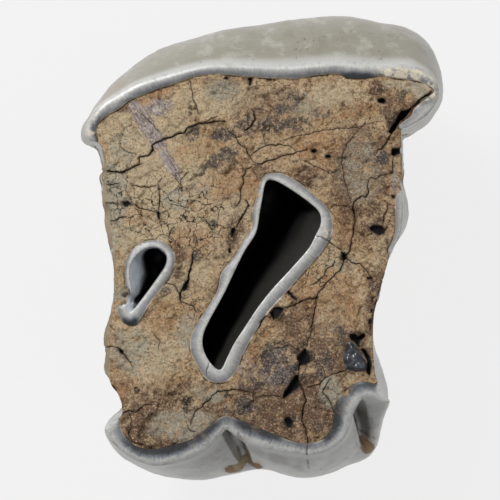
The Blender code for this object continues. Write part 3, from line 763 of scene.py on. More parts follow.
def patch(loops, lines, fill):
    """Triangles over the area inside the first loop and outside the others.

    Their edges follow the lines, and the fill gives the other corners. It returns the corners,
    the triangles and each loop's corner numbers.
    """
    points = np.concatenate(loops + lines + [fill])
    edges = []
    first = 0
    for number, line in enumerate(loops + lines):
        numbers = np.arange(first, first + len(line))
        after = np.roll(numbers, -1)
        pairs = np.stack([numbers, after], 1)
        edges.append(pairs if number < len(loops) else pairs[:-1])
        first += len(line)
    corners = [Vector(point) for point in points.tolist()]
    made = geometry.delaunay_2d_cdt(corners, np.concatenate(edges).tolist(), [], 0, 1e-4)
    places = np.array([point[:] for point in made[0]])
    triangles = np.array(made[2])
    middles = places[triangles].mean(1)
    kept = inside(middles, loops[0])
    for loop in loops[1:]:
        kept &= ~inside(middles, loop)
    triangles = triangles[kept]
    new_number = np.full(len(points), -1)
    for number, sources in enumerate(made[3]):
        new_number[sources] = number
    used, triangles = np.unique(triangles, return_inverse=True)
    position = np.full(len(places), -1)
    position[used] = np.arange(len(used))
    rings = []
    first = 0
    for loop in loops:
        rings.append(position[new_number[first:first + len(loop)]])
        first += len(loop)
    return places[used], triangles.reshape(-1, 3), rings


def runs(line, allowed):
    """The stretches of a line whose points are all allowed."""
    breaks = np.flatnonzero(np.diff(allowed.astype(int))) + 1
    stretches = np.split(np.arange(len(line)), breaks)
    return [line[numbers] for numbers in stretches if allowed[numbers[0]] and len(numbers) > 2]


def on_dentine(points):
    """Which points lie on the dentine, outside both rings."""
    return inside(points, DENTINE_LINE) & ~inside(points, LONG_RING_LINE) & ~inside(points, HOOK_RING_LINE)


def chewing_face():
    """The worn face in plan: its corners, triangles, and the loops of the rim and two mouths."""
    loops = [RIM, LONG_MOUTH_LINE, HOOK_MOUTH_LINE]
    wanted = []
    for outline in (DENTINE_LINE, LONG_RING_LINE, HOOK_RING_LINE):
        for side in (-1, 1):
            wanted.append(closed_line(beside(outline, side * STEP_WIDTH / 2, True)))
    wanted.append(closed_line(NODULE_LINE))
    for line, half_widths, _ in CRACK_LINES:
        wanted += [beside(line, -half_widths, False), line, beside(line, half_widths, False)]
    wanted += [closed_line(outline) for _, outline in HOLE_LINES]
    wanted += [closed_line(outline) for outline in BREAK_LINES]
    borders = np.concatenate(loops)
    lines = []
    for line in wanted:
        allowed = inside(line, RIM) & clear_of(line, borders, CLEARANCE)
        for mouth in loops[1:]:
            allowed &= ~inside(line, mouth)
        lines += runs(line, allowed)
    low, high = RIM.min(0), RIM.max(0)
    fine = scattered(low, high, DENTINE_SPACING, 1)
    coarse = scattered(low, high, ENAMEL_SPACING, 2)
    fill = np.concatenate([fine[on_dentine(fine)], coarse[~on_dentine(coarse)]])
    fill = fill[inside(fill, RIM)]
    for mouth in loops[1:]:
        fill = fill[~inside(fill, mouth)]
    fill = fill[clear_of(fill, np.concatenate(loops + lines), 0.6 * DENTINE_SPACING)]
    return patch(loops, lines, fill)


def band(upper, lower):
    """Two triangles between each two neighbours of a pair of rings, facing out of a clockwise ring."""
    upper_next, lower_next = np.roll(upper, -1), np.roll(lower, -1)
    return np.concatenate([np.stack([upper, upper_next, lower], 1),
                           np.stack([upper_next, lower_next, lower], 1)])


def band_map(along, top, bottom):
    """The map corners of a band's triangles, unrolled from left to right."""
    left, right = along[:-1], along[1:]
    high, low = np.full(len(left), top), np.full(len(left), bottom)
    return np.concatenate([
        np.stack([np.stack([left, high], 1), np.stack([right, high], 1), np.stack([left, low], 1)], 1),
        np.stack([np.stack([right, high], 1), np.stack([right, low], 1), np.stack([left, low], 1)], 1),
    ])


class Skin:
    """The tooth's skin while it is put together: its corners, its faces, and what they carry."""

    def __init__(self):
        self.corners = []
        self.marks = {name: [] for name in MARKS}
        self.faces = []
        self.maps = []
        self.finishes = []
        self.count = 0

    def add_corners(self, places, marks):
        """Add corners with their marks, and give back their numbers."""
        numbers = np.arange(self.count, self.count + len(places))
        self.corners.append(places)
        for name in MARKS:
            self.marks[name].append(np.broadcast_to(marks.get(name, 0.0), len(places)))
        self.count += len(places)
        return numbers

    def add_faces(self, faces, spots, finish):
        """Add faces with their places on the map, and their finish's number or one for each face."""
        self.faces.append(faces)
        self.maps.append(spots)
        self.finishes.append(np.broadcast_to(finish, len(faces)))


def on_map(places, corner, scale):
    """Plan places laid flat on the map, from a corner of it."""
    return (places - places.min(0)) * scale + corner


def unrolled(loop):
    """The way along each corner of a closed loop as a share of its whole length, and 1 at the end."""
    lengths = np.hypot(*np.diff(closed_line(loop), axis=0).T)
    return np.concatenate([[0], np.cumsum(lengths)]) / lengths.sum()


def add_face(skin):
    """Add the chewing face, and give back the corner numbers of the rim and the two mouths."""
    places, triangles, loops = chewing_face()
    marks = face_marks(places)
    heights = face_height(places, marks)
    numbers = skin.add_corners(np.column_stack([places, heights]), marks)
    flat = on_map(places, FACE_MAP[0], FACE_MAP[1])
    on_enamel = marks["in_enamel"][triangles].mean(1) > 0
    finish = np.where(on_enamel, FINISHES.index(worn_enamel), FINISHES.index(cracked_dentine))
    on_nodule = marks["nodule"][triangles].mean(1) > 0.05
    finish = np.where(on_nodule, FINISHES.index(glassy_nodule), finish)
    skin.add_faces(numbers[triangles], flat[triangles], finish)
    return [numbers[loop] for loop in loops]


def seen_spot(places):
    """Where the camera sees each place, as a spot on the plane of the chewing edge."""
    nearer = CAMERA_RISE / (CAMERA_RISE + TOOTH_HEIGHT - places[:, 2:])
    return CAMERA_SPOT + (places[:, :2] - CAMERA_SPOT) * nearer


def wall_marks(places, broken):
    """What the outer wall is at each place: its cement, its cracks, its grooves and its stains, with
    painted shade in its grooves and a painted highlight just under the edge.
    """
    height = places[:, 2]
    spots = seen_spot(places)
    in_view = 1 - step(10, 16, TOOTH_HEIGHT - height)
    dark, _, sunk = cracks_at(spots)
    lace = rough(places, 7.0, 21.0, 5)
    fine = rough(places, 1.6, 23.0, 3)
    near_neck = 1 - step(ENAMEL_END_HEIGHT, ENAMEL_END_HEIGHT + 6, height + 5 * lace + 1.5 * fine)
    near_edge = broken * step(TOOTH_HEIGHT - 6, TOOTH_HEIGHT - 1.5, height + 3 * lace + fine)
    crusted = (0.35 + 0.65 * broken) * step(0.12, 0.3, lace + 0.12 * fine)
    groove = np.zeros(len(places))
    for depth, half_width, line in GROOVES:
        distance = nearest_on(spaced(plan(line), LINE_SPACING, False), spots, half_width)[0]
        groove = np.maximum(groove, depth * (1 - step(0, half_width, distance)))
    marks = {name: blot(spots, patches) * in_view for name, patches in WALL_STAINS.items()}
    marks["cement"] = np.maximum.reduce([near_neck, near_edge, crusted, marks["cement"]])
    marks["crack"] = dark * in_view * (1 - broken * step(2, 6, TOOTH_HEIGHT - height))
    marks["sunk"] = (0.5 * sunk + groove) * in_view
    marks["cementum"] = step(-6, 8, places[:, 1])
    # Painted highlight: the top 3 mm of the wall, under the rounded edge, is lighter
    marks["across"] = 1 - step(0, 3, TOOTH_HEIGHT - height)
    return marks


def add_wall(skin, rim):
    """Add the outer wall from the rim down to the neck, and give back the neck's loop and numbers."""
    count = len(rim)
    rim_heights = np.concatenate(skin.corners)[rim, 2]
    neck = relaxed(WALL, NECK_EASING) * NECK_SHARE
    levels = []
    for share in (np.arange(1, WALL_ROWS + 1) / WALL_ROWS) ** 1.3:
        plan_loop = RIM + (WALL - RIM) * bulge(share * (TOOTH_HEIGHT - WIDEST_HEIGHT))
        levels.append((plan_loop, rim_heights + (WIDEST_HEIGHT - rim_heights) * share))
    for share in np.arange(1, NECK_ROWS + 1) / NECK_ROWS:
        height = WIDEST_HEIGHT + (NECK_HEIGHT - WIDEST_HEIGHT) * share
        levels.append((WALL + (neck - WALL) * share ** 2, np.full(count, height)))
    places = np.concatenate([np.column_stack(level) for level in levels])
    marks = wall_marks(places, np.tile(blot(RIM, BARE_WALL), len(levels)))
    numbers = skin.add_corners(places, marks).reshape(len(levels), count)
    along = unrolled(RIM) * WALL_MAP[1][0] + WALL_MAP[0][0]
    heights = WALL_MAP[0][1] + WALL_MAP[1][1] * np.linspace(1, 0, len(levels) + 1)
    rings = [rim] + list(numbers)
    for k, (upper, lower) in enumerate(zip(rings, rings[1:])):
        below = levels[k][1].mean() < ENAMEL_END_HEIGHT - 1.0
        finish = root_cement if below else outer_enamel
        spots = band_map(along, heights[k], heights[k + 1])
        skin.add_faces(band(upper, lower), spots, FINISHES.index(finish))
    return neck, numbers[-1]


def add_pit(skin, mouth, rim, shape, map_place):
    """Add a pit, from its mouth down to a closed floor, with one wall sloping to its trough."""
    heights = np.concatenate(skin.corners)[rim, 2]
    trough = spaced(plan(shape["trough"]), MOUTH_SPACING, False)
    gaps = np.hypot(*(mouth[:, None] - trough[None]).T).T
    lowest = trough[gaps.argmin(1)]
    facing = (beside(mouth, 1, True) - mouth) @ shape["faces"]
    pull = shape["steep"] + (shape["sloping"] - shape["steep"]) * step(0.1, 0.9, facing)
    end, reach, least = shape["shallow_end"]
    from_end = np.hypot(*(mouth - plan([end])[0]).T)
    depth = shape["depth"] * (least + (1 - least) * step(0, reach, from_end))
    rings = [rim]
    for share in (np.arange(1, PIT_ROWS + 1) / PIT_ROWS) ** 1.6:
        sunk = np.clip(share * shape["depth"] / shape["slope_depth"], 0, 1)
        loop = mouth + (lowest - mouth) * (pull * (1 - (1 - sunk) ** 2))[:, None]
        loop = relaxed(loop + np.array(shape["lean"]) * share, round(10 * share))
        places = np.column_stack([loop, np.full(len(loop), 9 * share)])
        loop = loop + 0.2 * step(0, 0.1, share) * rough(places, 2.2, 31.0)[:, None]
        level = heights - (depth + heights - TOOTH_HEIGHT) * share
        rings.append(skin.add_corners(np.column_stack([loop, level]), {"pale": shape["pale_lining"]}))
    along = unrolled(mouth) * map_place[1][0] + map_place[0][0]
    rows = map_place[0][1] + map_place[1][1] * np.linspace(1, 0, len(rings))
    for k, (upper, lower) in enumerate(zip(rings, rings[1:])):
        turned = band(upper, lower)[:, ::-1]
        spots = band_map(along, rows[k], rows[k + 1])[:, ::-1]
        skin.add_faces(turned, spots, FINISHES.index(pit_enamel))
    floor, triangles, (edge,) = patch([loop], [], np.zeros((0, 2)))
    numbers = np.full(len(floor), -1)
    numbers[edge] = rings[-1]
    spots = on_map(floor, np.add(map_place[0], (0, -0.03)), 0.001)
    skin.add_faces(numbers[triangles], spots[triangles], FINISHES.index(pit_enamel))


def oval_share(places, oval):
    """How far out from an oval's middle each place is, as a share of its half width that way."""
    x, y, half_x, half_y = oval
    return np.hypot((places[:, 0] - x) / half_x, (places[:, 1] - y) / half_y)


def under_height(places, neck):
    """The height of the hollow underside and of the roots below it."""
    from_neck = nearest_on(closed_line(neck), places, 8.0)[0]
    lift = rough(places, 5.0, 41.0)
    heights = [NECK_HEIGHT - (NECK_HEIGHT - ARCH_HEIGHT) * step(0, 5, from_neck) + 0.5 * lift]
    for root in ROOTS:
        share = oval_share(places, root)
        rise = np.maximum(share - ROOT_END_SHARE, 0) / (1 - ROOT_END_SHARE)
        heights.append(NECK_HEIGHT * rise ** (1 / ROOT_FLARE))
    softness = 0.7
    heights = -softness * np.log(sum(np.exp(-height / softness) for height in heights))
    ends = np.minimum.reduce([oval_share(places, root) for root in ROOTS]) <= ROOT_END_SHARE
    heights = np.where(ends, 0.0, np.maximum(heights, 0.0))
    for canal in CANALS:
        heights = heights + CANAL_DEPTH * (1 - step(0.3, 1.0, oval_share(places, canal)))
    return NECK_HEIGHT + (heights - NECK_HEIGHT) * step(0, 1.0, from_neck)


def add_underside(skin, neck, numbers):
    """Add the underside of the crown with its four root stubs, inside the loop of the neck."""
    turns = np.linspace(0, math.tau, ROOT_SIDES + 1)
    ring = np.column_stack([np.cos(turns), np.sin(turns)])
    lines = []
    for x, y, half_x, half_y in ROOTS:
        for height in ROOT_LEVELS:
            share = ROOT_END_SHARE + (1 - ROOT_END_SHARE) * (height / NECK_HEIGHT) ** ROOT_FLARE
            lines.append(ring * (half_x * share, half_y * share) + (x, y))
    kept = []
    for line in lines:
        allowed = inside(line, neck) & clear_of(line, neck, CLEARANCE)
        kept += runs(line, allowed)
    fill = scattered(neck.min(0), neck.max(0), ROOT_SPACING, 5)
    fill = fill[inside(fill, neck)]
    fill = fill[clear_of(fill, np.concatenate([neck] + kept), 0.55 * ROOT_SPACING)]
    places, triangles, (edge,) = patch([neck], kept, fill)
    heights = under_height(places, neck)
    splay = 1 + ROOT_SPLAY * (1 - heights / NECK_HEIGHT)
    solid = np.column_stack([places * splay[:, None], heights])
    hollow = np.maximum.reduce([1 - step(0.3, 1.1, oval_share(places, canal)) for canal in CANALS])
    at_edge = np.zeros(len(places), bool)
    at_edge[edge] = True
    marks = {"cement": 1.0, "crack": hollow[~at_edge]}
    own = np.full(len(places), -1)
    own[~at_edge] = skin.add_corners(solid[~at_edge], marks)
    own[edge] = numbers
    flat = on_map(places, UNDER_MAP[0], UNDER_MAP[1])
    skin.add_faces(own[triangles][:, ::-1], flat[triangles][:, ::-1], FINISHES.index(root_cement))


def corner_normals(corners, faces):
    """The direction straight out of the skin at each corner."""
    a, b, c = (corners[faces[:, k]] for k in range(3))
    across = np.cross(b - a, c - a)
    normals = np.zeros_like(corners)
    for k in range(3):
        np.add.at(normals, faces[:, k], across)
    return normals / np.maximum(np.linalg.norm(normals, axis=1), 1e-12)[:, None]


def weathered(corners, faces, marks, face_count):
    """The skin with the unevenness that growth and burial left on its wall and roots."""
    normals = corner_normals(corners, faces)
    below = TOOTH_HEIGHT - 1 - corners[:, 2]
    wall = step(0, 5, below)
    wall[:face_count] = 0
    root = 1 - step(ENAMEL_END_HEIGHT - 3, ENAMEL_END_HEIGHT + 1, corners[:, 2])
    swells = rough(corners * (1, 1, 0.35), 6.0, 51.0, 3)
    grit = rough(corners, 1.1, 53.0, 4)
    out = wall * (0.22 * swells + 0.03 * grit)
    out += wall * marks["cement"] * (0.16 + 0.10 * grit)
    out += root * wall * (0.45 * rough(corners * (1, 1, 0.5), 4.0, 55.0, 4) - 0.12)
    out -= np.where(np.arange(len(corners)) < face_count, 0, marks["sunk"])
    moved = corners + normals * out[:, None]
    moved[:, 2] = np.maximum(moved[:, 2], 0)
    return moved


def tooth_mesh():
    """The whole tooth as one closed mesh in metres, with its marks and its map."""
    skin = Skin()
    rim, long_mouth, hook_mouth = add_face(skin)
    face_count = skin.count
    neck, neck_numbers = add_wall(skin, rim)
    add_underside(skin, neck, neck_numbers)
    add_pit(skin, LONG_MOUTH_LINE, long_mouth, LONG_PIT, LONG_PIT_MAP)
    add_pit(skin, HOOK_MOUTH_LINE, hook_mouth, HOOK_PIT, HOOK_PIT_MAP)
    corners = np.concatenate(skin.corners)
    faces = np.concatenate(skin.faces)
    marks = {name: np.concatenate(values) for name, values in skin.marks.items()}
    corners = weathered(corners, faces, marks, face_count)
    mesh = bpy.data.meshes.new("molar_tooth")
    mesh.from_pydata((corners * MM).tolist(), [], faces.tolist())
    for name in MARKS:
        carried = mesh.attributes.new(name, "FLOAT", "POINT")
        carried.data.foreach_set("value", marks[name].astype(np.float32))
    layer = mesh.uv_layers.new(name="OFBake")
    layer.data.foreach_set("uv", np.concatenate(skin.maps).astype(np.float32).ravel())
    for make_material in FINISHES:
        mesh.materials.append(make_material())
    mesh.polygons.foreach_set("material_index", np.concatenate(skin.finishes).astype(np.int32))
    mesh.shade_smooth()
    mesh.validate()
    mesh.update()
    return mesh


def linear(hex_colour):
    """A colour written as sRGB hex, as the linear values that a shader takes."""
    values = [int(hex_colour[k:k + 2], 16) / 255 for k in (1, 3, 5)]
    return [v / 12.92 if v <= 0.04045 else ((v + 0.055) / 1.055) ** 2.4 for v in values] + [1.0]


def add(tree, kind, links=None, **settings):
    """Add one shader node. A link is another node's socket, or a value that stays on the socket."""
    made = tree.nodes.new(kind)
    for name, value in settings.items():
        setattr(made, name, value)
    for socket, value in (links or {}).items():
        if isinstance(value, bpy.types.NodeSocket):
            tree.links.new(value, made.inputs[socket])
        else:
            made.inputs[socket].default_value = value
    return made


def new_material(name, **values):
    """A material with plain values on its surface shader, and its node tree and millimetre grid."""
    material = bpy.data.materials.new(name)
    material.use_nodes = True
    tree = material.node_tree
    surface = tree.nodes["Principled BSDF"]
    for socket, value in values.items():
        surface.inputs[socket.replace("_", " ")].default_value = value
    place = add(tree, "ShaderNodeTexCoord").outputs["Object"]
    grid = add(tree, "ShaderNodeMapping", {"Vector": place, "Scale": (1 / MM,) * 3}).outputs["Vector"]
    return material, tree, surface, grid


# The dentine's thin layers: one for each such step of a pattern from 0 to 1. Its patterns are torn
# sideways by up to so many millimetres.
LAYER_STEP = 0.06
TEAR = 1.4

# The Mix node's sockets, which have the same names for every kind of value
FACTOR, BELOW, ABOVE, RESULT = 0, 6, 7, 2


def laid_over(tree, colour, layers):
    """The colour with layers laid over it. Each layer is a pattern, the values where it starts to
    show and where it is full, how strong it gets, and its own colour."""
    for pattern, start, full, most, above in layers:
        mask = add(tree, "ShaderNodeMapRange", {"Value": pattern, "From Min": start, "From Max": full,
                                                "To Max": most}, interpolation_type="SMOOTHSTEP")
        mixed = add(tree, "ShaderNodeMix", {FACTOR: mask.outputs[0], BELOW: colour, ABOVE: linear(above)},
                    data_type="RGBA")
        colour = mixed.outputs[RESULT]
    return colour


def cracked_dentine():
    """Permineralised dentine, worn flat and cracked by drying: dull ochre, crumbly and stained, with
    painted shade at the steps of its broken layers and in its holes.
    """
    material, tree, surface, grid = new_material("cracked_dentine", Roughness=0.75, IOR=1.5)
    drift = add(tree, "ShaderNodeTexNoise", {"Vector": grid, "Scale": 0.9, "Detail": 4.0}).outputs["Color"]
    torn = add(tree, "ShaderNodeVectorMath", {0: drift, 1: (TEAR,) * 3, 2: grid},
               operation="MULTIPLY_ADD").outputs[0]
    hue = add(tree, "ShaderNodeTexNoise", {"Vector": grid, "Scale": 0.2, "Detail": 8.0, "Roughness": 0.7})
    noises = {}
    for name, place, scale, detail, roughness in (
            ("mottle", grid, 0.5, 9.0, 0.76), ("crumb", torn, 1.3, 7.0, 0.78),
            ("grain", grid, 3.4, 4.0, 0.80), ("ragged", torn, 0.7, 9.0, 0.80)):
        made = add(tree, "ShaderNodeTexNoise", {"Vector": place, "Scale": scale, "Detail": detail,
                                                "Roughness": roughness})
        noises[name] = made.outputs["Fac"]
    for name, place, turn, length, width in (("fibre", torn, 48, 2.2, 0.5),
                                             ("striae", grid, -57, 5.0, 0.26)):
        slanted = add(tree, "ShaderNodeMapping", {"Vector": place, "Rotation": (0, 0, math.radians(turn)),
                                                  "Scale": (length, width, width)}, vector_type="TEXTURE")
        made = add(tree, "ShaderNodeTexNoise", {"Vector": slanted.outputs[0], "Scale": 1.0,
                                                "Detail": 6.0, "Roughness": 0.72})
        noises[name] = made.outputs["Fac"]
    blocks = add(tree, "ShaderNodeTexVoronoi", {"Vector": torn, "Scale": 0.5})
    specks = add(tree, "ShaderNodeTexVoronoi", {"Vector": torn, "Scale": 1.5}).outputs["Distance"]
    joints = add(tree, "ShaderNodeTexVoronoi", {"Vector": torn, "Scale": 0.5}, feature="DISTANCE_TO_EDGE")
    tint = add(tree, "ShaderNodeSeparateColor", {"Color": blocks.outputs["Color"]})
    marks = {}
    for name in list(STAINS) + ["halo", "crack"]:
        marks[name] = add(tree, "ShaderNodeAttribute", attribute_name=name).outputs["Fac"]
    layers = [
        (tint.outputs[0], 0.4, 1.0, 0.35, "#F2D7AF"),
        (tint.outputs[1], 0.5, 1.0, 0.40, "#BC966D"),
        (hue.outputs["Fac"], 0.47, 0.60, 0.65, "#BD9469"),
        (hue.outputs["Color"], 0.50, 0.60, 0.55, "#DAA86C"),
        (noises["fibre"], 0.52, 0.60, 0.70, "#F4D9AE"),
        (noises["fibre"], 0.46, 0.38, 0.65, "#9C7652"),
        (noises["mottle"], 0.53, 0.62, 0.75, "#F6DDB6"),
        (noises["mottle"], 0.45, 0.37, 0.70, "#8F6747"),
        (noises["crumb"], 0.54, 0.63, 0.80, "#FBE3BC"),
        (noises["crumb"], 0.47, 0.38, 0.90, "#5C432B"),
    ]
    patchy = add(tree, "ShaderNodeMapRange", {"Value": noises["ragged"], "From Min": 0.38, "From Max": 0.62,
                                              "To Max": 2.0}).outputs[0]
    # Stain colours; the dark one is partly dark stain and partly painted shade round holes and cracks
    for name, start, most, colour in (
            ("sandy", 0.0, 0.75, "#F7E0B8"), ("ochre", 0.2, 0.65, "#CF9660"),
            ("umber", 0.0, 0.85, "#724F38"), ("pale", 0.2, 0.75, "#F0DDBA"),
            ("cementum", 0.05, 0.85, "#D6CDB6"), ("lilac", 0.2, 0.88, "#AE9C9B"),
            ("grey", 0.25, 0.88, "#5C5450"), ("dark", 0.3, 0.90, "#2A211A")):
        worn_away = add(tree, "ShaderNodeMath", {0: marks[name], 1: patchy}, operation="MULTIPLY")
        layers.append((worn_away.outputs[0], start, start + 0.6, most, colour))
    streaks = []
    for start, full in ((0.44, 0.56), (0.45, 0.36)):
        line = add(tree, "ShaderNodeMapRange", {"Value": noises["striae"], "From Min": start,
                                                "From Max": full})
        streaks.append(add(tree, "ShaderNodeMath", {0: line.outputs[0], 1: marks["lilac"]},
                           operation="MULTIPLY").outputs[0])
    frayed = add(tree, "ShaderNodeMath", {0: noises["crumb"], 1: 0.14, 2: joints.outputs["Distance"]},
                 operation="MULTIPLY_ADD")
    line = add(tree, "ShaderNodeMapRange", {"Value": frayed.outputs[0], "From Min": 0.105,
                                            "From Max": 0.080}, interpolation_type="SMOOTHSTEP")
    joint = add(tree, "ShaderNodeMath", {0: line.outputs[0], 1: marks["jointed"]}, operation="MULTIPLY")
    # Painted shade: a thin dark line at the foot of each broken layer's step, where the mottle allows
    layer = add(tree, "ShaderNodeMath", {0: noises["ragged"], 1: 1 / LAYER_STEP}, operation="MULTIPLY")
    share = add(tree, "ShaderNodeMath", {0: layer.outputs[0]}, operation="FRACT")
    painted_step_shade = add(tree, "ShaderNodeMapRange", {"Value": share.outputs[0], "From Min": 0.22,
                                                "From Max": 0.06})
    crumbled = add(tree, "ShaderNodeMapRange", {"Value": noises["mottle"], "From Min": 0.49,
                                                "From Max": 0.58})
    edges = add(tree, "ShaderNodeMath", {0: painted_step_shade.outputs[0], 1: crumbled.outputs[0]},
                operation="MULTIPLY")
    glint = add(tree, "ShaderNodeMapRange", {"Value": specks, "From Min": 0.24, "From Max": 0.10})
    glinting = add(tree, "ShaderNodeMath", {0: glint.outputs[0], 1: marks["umber"]}, operation="MULTIPLY")
    layers += [
        (streaks[0], 0.2, 0.9, 0.90, "#EDE1DB"),
        (streaks[1], 0.2, 0.9, 0.50, "#7B6868"),
        (glinting.outputs[0], 0.15, 0.55, 0.80, "#F3DFCB"),
        (noises["grain"], 0.54, 0.64, 0.70, "#FFEBC6"),
        (noises["grain"], 0.46, 0.36, 0.80, "#48311E"),
        # Painted shade at the steps of the broken layers
        (edges.outputs[0], 0.0, 1.0, 0.80, "#4A321F"),
        (marks["halo"], 0.0, 1.0, 1.0, "#6A4325"),
        (joint.outputs[0], 0.0, 1.0, 0.95, "#2A1C12"),
        # Near black in the cracks, and as painted shade in the holes and along the enamel's border
        (marks["crack"], 0.0, 1.0, 1.0, "#0B0806"),
    ]
    tree.links.new(laid_over(tree, linear("#ECC79A"), layers), surface.inputs["Base Color"])

    # The relief: thin layers broken off in steps, crumbs on them, and the joints between blocks
    terraces = add(tree, "ShaderNodeMath", {0: noises["ragged"], 1: LAYER_STEP}, operation="SNAP")
    height = add(tree, "ShaderNodeMath", {0: noises["fibre"], 1: 1.2, 2: tint.outputs[2]},
                 operation="MULTIPLY_ADD")
    for pattern, share in ((terraces.outputs[0], 3.0), (noises["mottle"], 2.0), (noises["crumb"], 3.2),
                           (noises["grain"], 1.0), (joint.outputs[0], -1.0)):
        height = add(tree, "ShaderNodeMath", {0: pattern, 1: share, 2: height.outputs[0]},
                     operation="MULTIPLY_ADD")
    relief = add(tree, "ShaderNodeBump", {"Height": height.outputs[0], "Strength": 1.0,
                                          "Distance": 0.34 * MM})
    tree.links.new(relief.outputs["Normal"], surface.inputs["Normal"])
    return material


def worn_enamel():
    """Enamel cut across by wear and polished by chewing: grey-white, with fine lines across it."""
    material, tree, surface, grid = new_material("worn_enamel", IOR=1.62)
    marks = {}
    for name in ("along", "across", "dark_enamel", "pale", "ochre", "umber", "crack"):
        marks[name] = add(tree, "ShaderNodeAttribute", attribute_name=name).outputs["Fac"]
    lines = add(tree, "ShaderNodeCombineXYZ", {"X": marks["along"], "Y": marks["across"]})
    stretched = add(tree, "ShaderNodeMapping", {"Vector": lines.outputs[0], "Scale": (4.5, 1.2, 1.0)})
    noises = {}
    for name, place, scale in (("prisms", stretched.outputs[0], 1.0), ("cloud", grid, 0.5),
                               ("grit", grid, 2.4)):
        noises[name] = add(tree, "ShaderNodeTexNoise", {"Vector": place, "Scale": scale, "Detail": 7.0,
                                                        "Roughness": 0.72}).outputs["Fac"]
    torn = add(tree, "ShaderNodeMath", {0: noises["prisms"], 1: 0.35, 2: marks["across"]},
               operation="MULTIPLY_ADD")
    depth = add(tree, "ShaderNodeMath", {0: noises["cloud"], 1: 0.6, 2: torn.outputs[0]},
                operation="MULTIPLY_ADD").outputs[0]
    layers = [
        (depth, 1.05, 0.60, 0.90, "#66676A"),
        (depth, 0.95, 1.20, 0.75, "#B7B7B4"),
        (noises["cloud"], 0.50, 0.64, 0.50, "#7E7B75"),
        (noises["cloud"], 0.46, 0.36, 0.40, "#8D939A"),
        (noises["prisms"], 0.53, 0.68, 0.25, "#C3C4C3"),
        (noises["prisms"], 0.46, 0.34, 0.40, "#62686F"),
        (noises["grit"], 0.44, 0.34, 0.40, "#55524D"),
        (marks["across"], 0.10, 0.03, 0.60, "#BFAA8A"),
    ]
    for start, full, most, colour in ((1.25, 0.80, 0.95, "#565C65"), (1.02, 0.66, 1.0, "#121418")):
        stain = add(tree, "ShaderNodeMapRange", {"Value": depth, "From Min": start, "From Max": full},
                    interpolation_type="SMOOTHSTEP")
        stained = add(tree, "ShaderNodeMath", {0: stain.outputs[0], 1: marks["dark_enamel"]},
                      operation="MULTIPLY")
        layers.append((stained.outputs[0], 0.0, 1.0, most, colour))
    patchy = add(tree, "ShaderNodeMapRange", {"Value": noises["cloud"], "From Min": 0.38, "From Max": 0.60,
                                              "To Max": 2.0}).outputs[0]
    for name, start, colour in (("pale", 0.3, "#DCD0BA"), ("ochre", 0.6, "#A5845A"),
                                ("umber", 0.7, "#6A5A48")):
        worn_away = add(tree, "ShaderNodeMath", {0: marks[name], 1: patchy}, operation="MULTIPLY")
        layers.append((worn_away.outputs[0], start, start + 0.8, 0.85, colour))
    # Near black in the cracks, and as painted shade in the holes
    layers.append((marks["crack"], 0.0, 1.0, 1.0, "#100E0C"))
    tree.links.new(laid_over(tree, linear("#969592"), layers), surface.inputs["Base Color"])
    dirt = add(tree, "ShaderNodeMath", {0: marks["pale"], 1: marks["umber"]}, operation="ADD")
    dull = add(tree, "ShaderNodeMapRange", {"Value": dirt.outputs[0], "To Min": 0.36, "To Max": 0.85})
    tree.links.new(dull.outputs[0], surface.inputs["Roughness"])
    crust = add(tree, "ShaderNodeMath", {0: noises["grit"], 1: dirt.outputs[0]}, operation="MULTIPLY")
    height = add(tree, "ShaderNodeMath", {0: crust.outputs[0], 1: 8.0, 2: depth}, operation="MULTIPLY_ADD")
    bumps = add(tree, "ShaderNodeBump", {"Height": height.outputs[0], "Strength": 0.7,
                                         "Distance": 0.12 * MM})
    tree.links.new(bumps.outputs["Normal"], surface.inputs["Normal"])
    return material


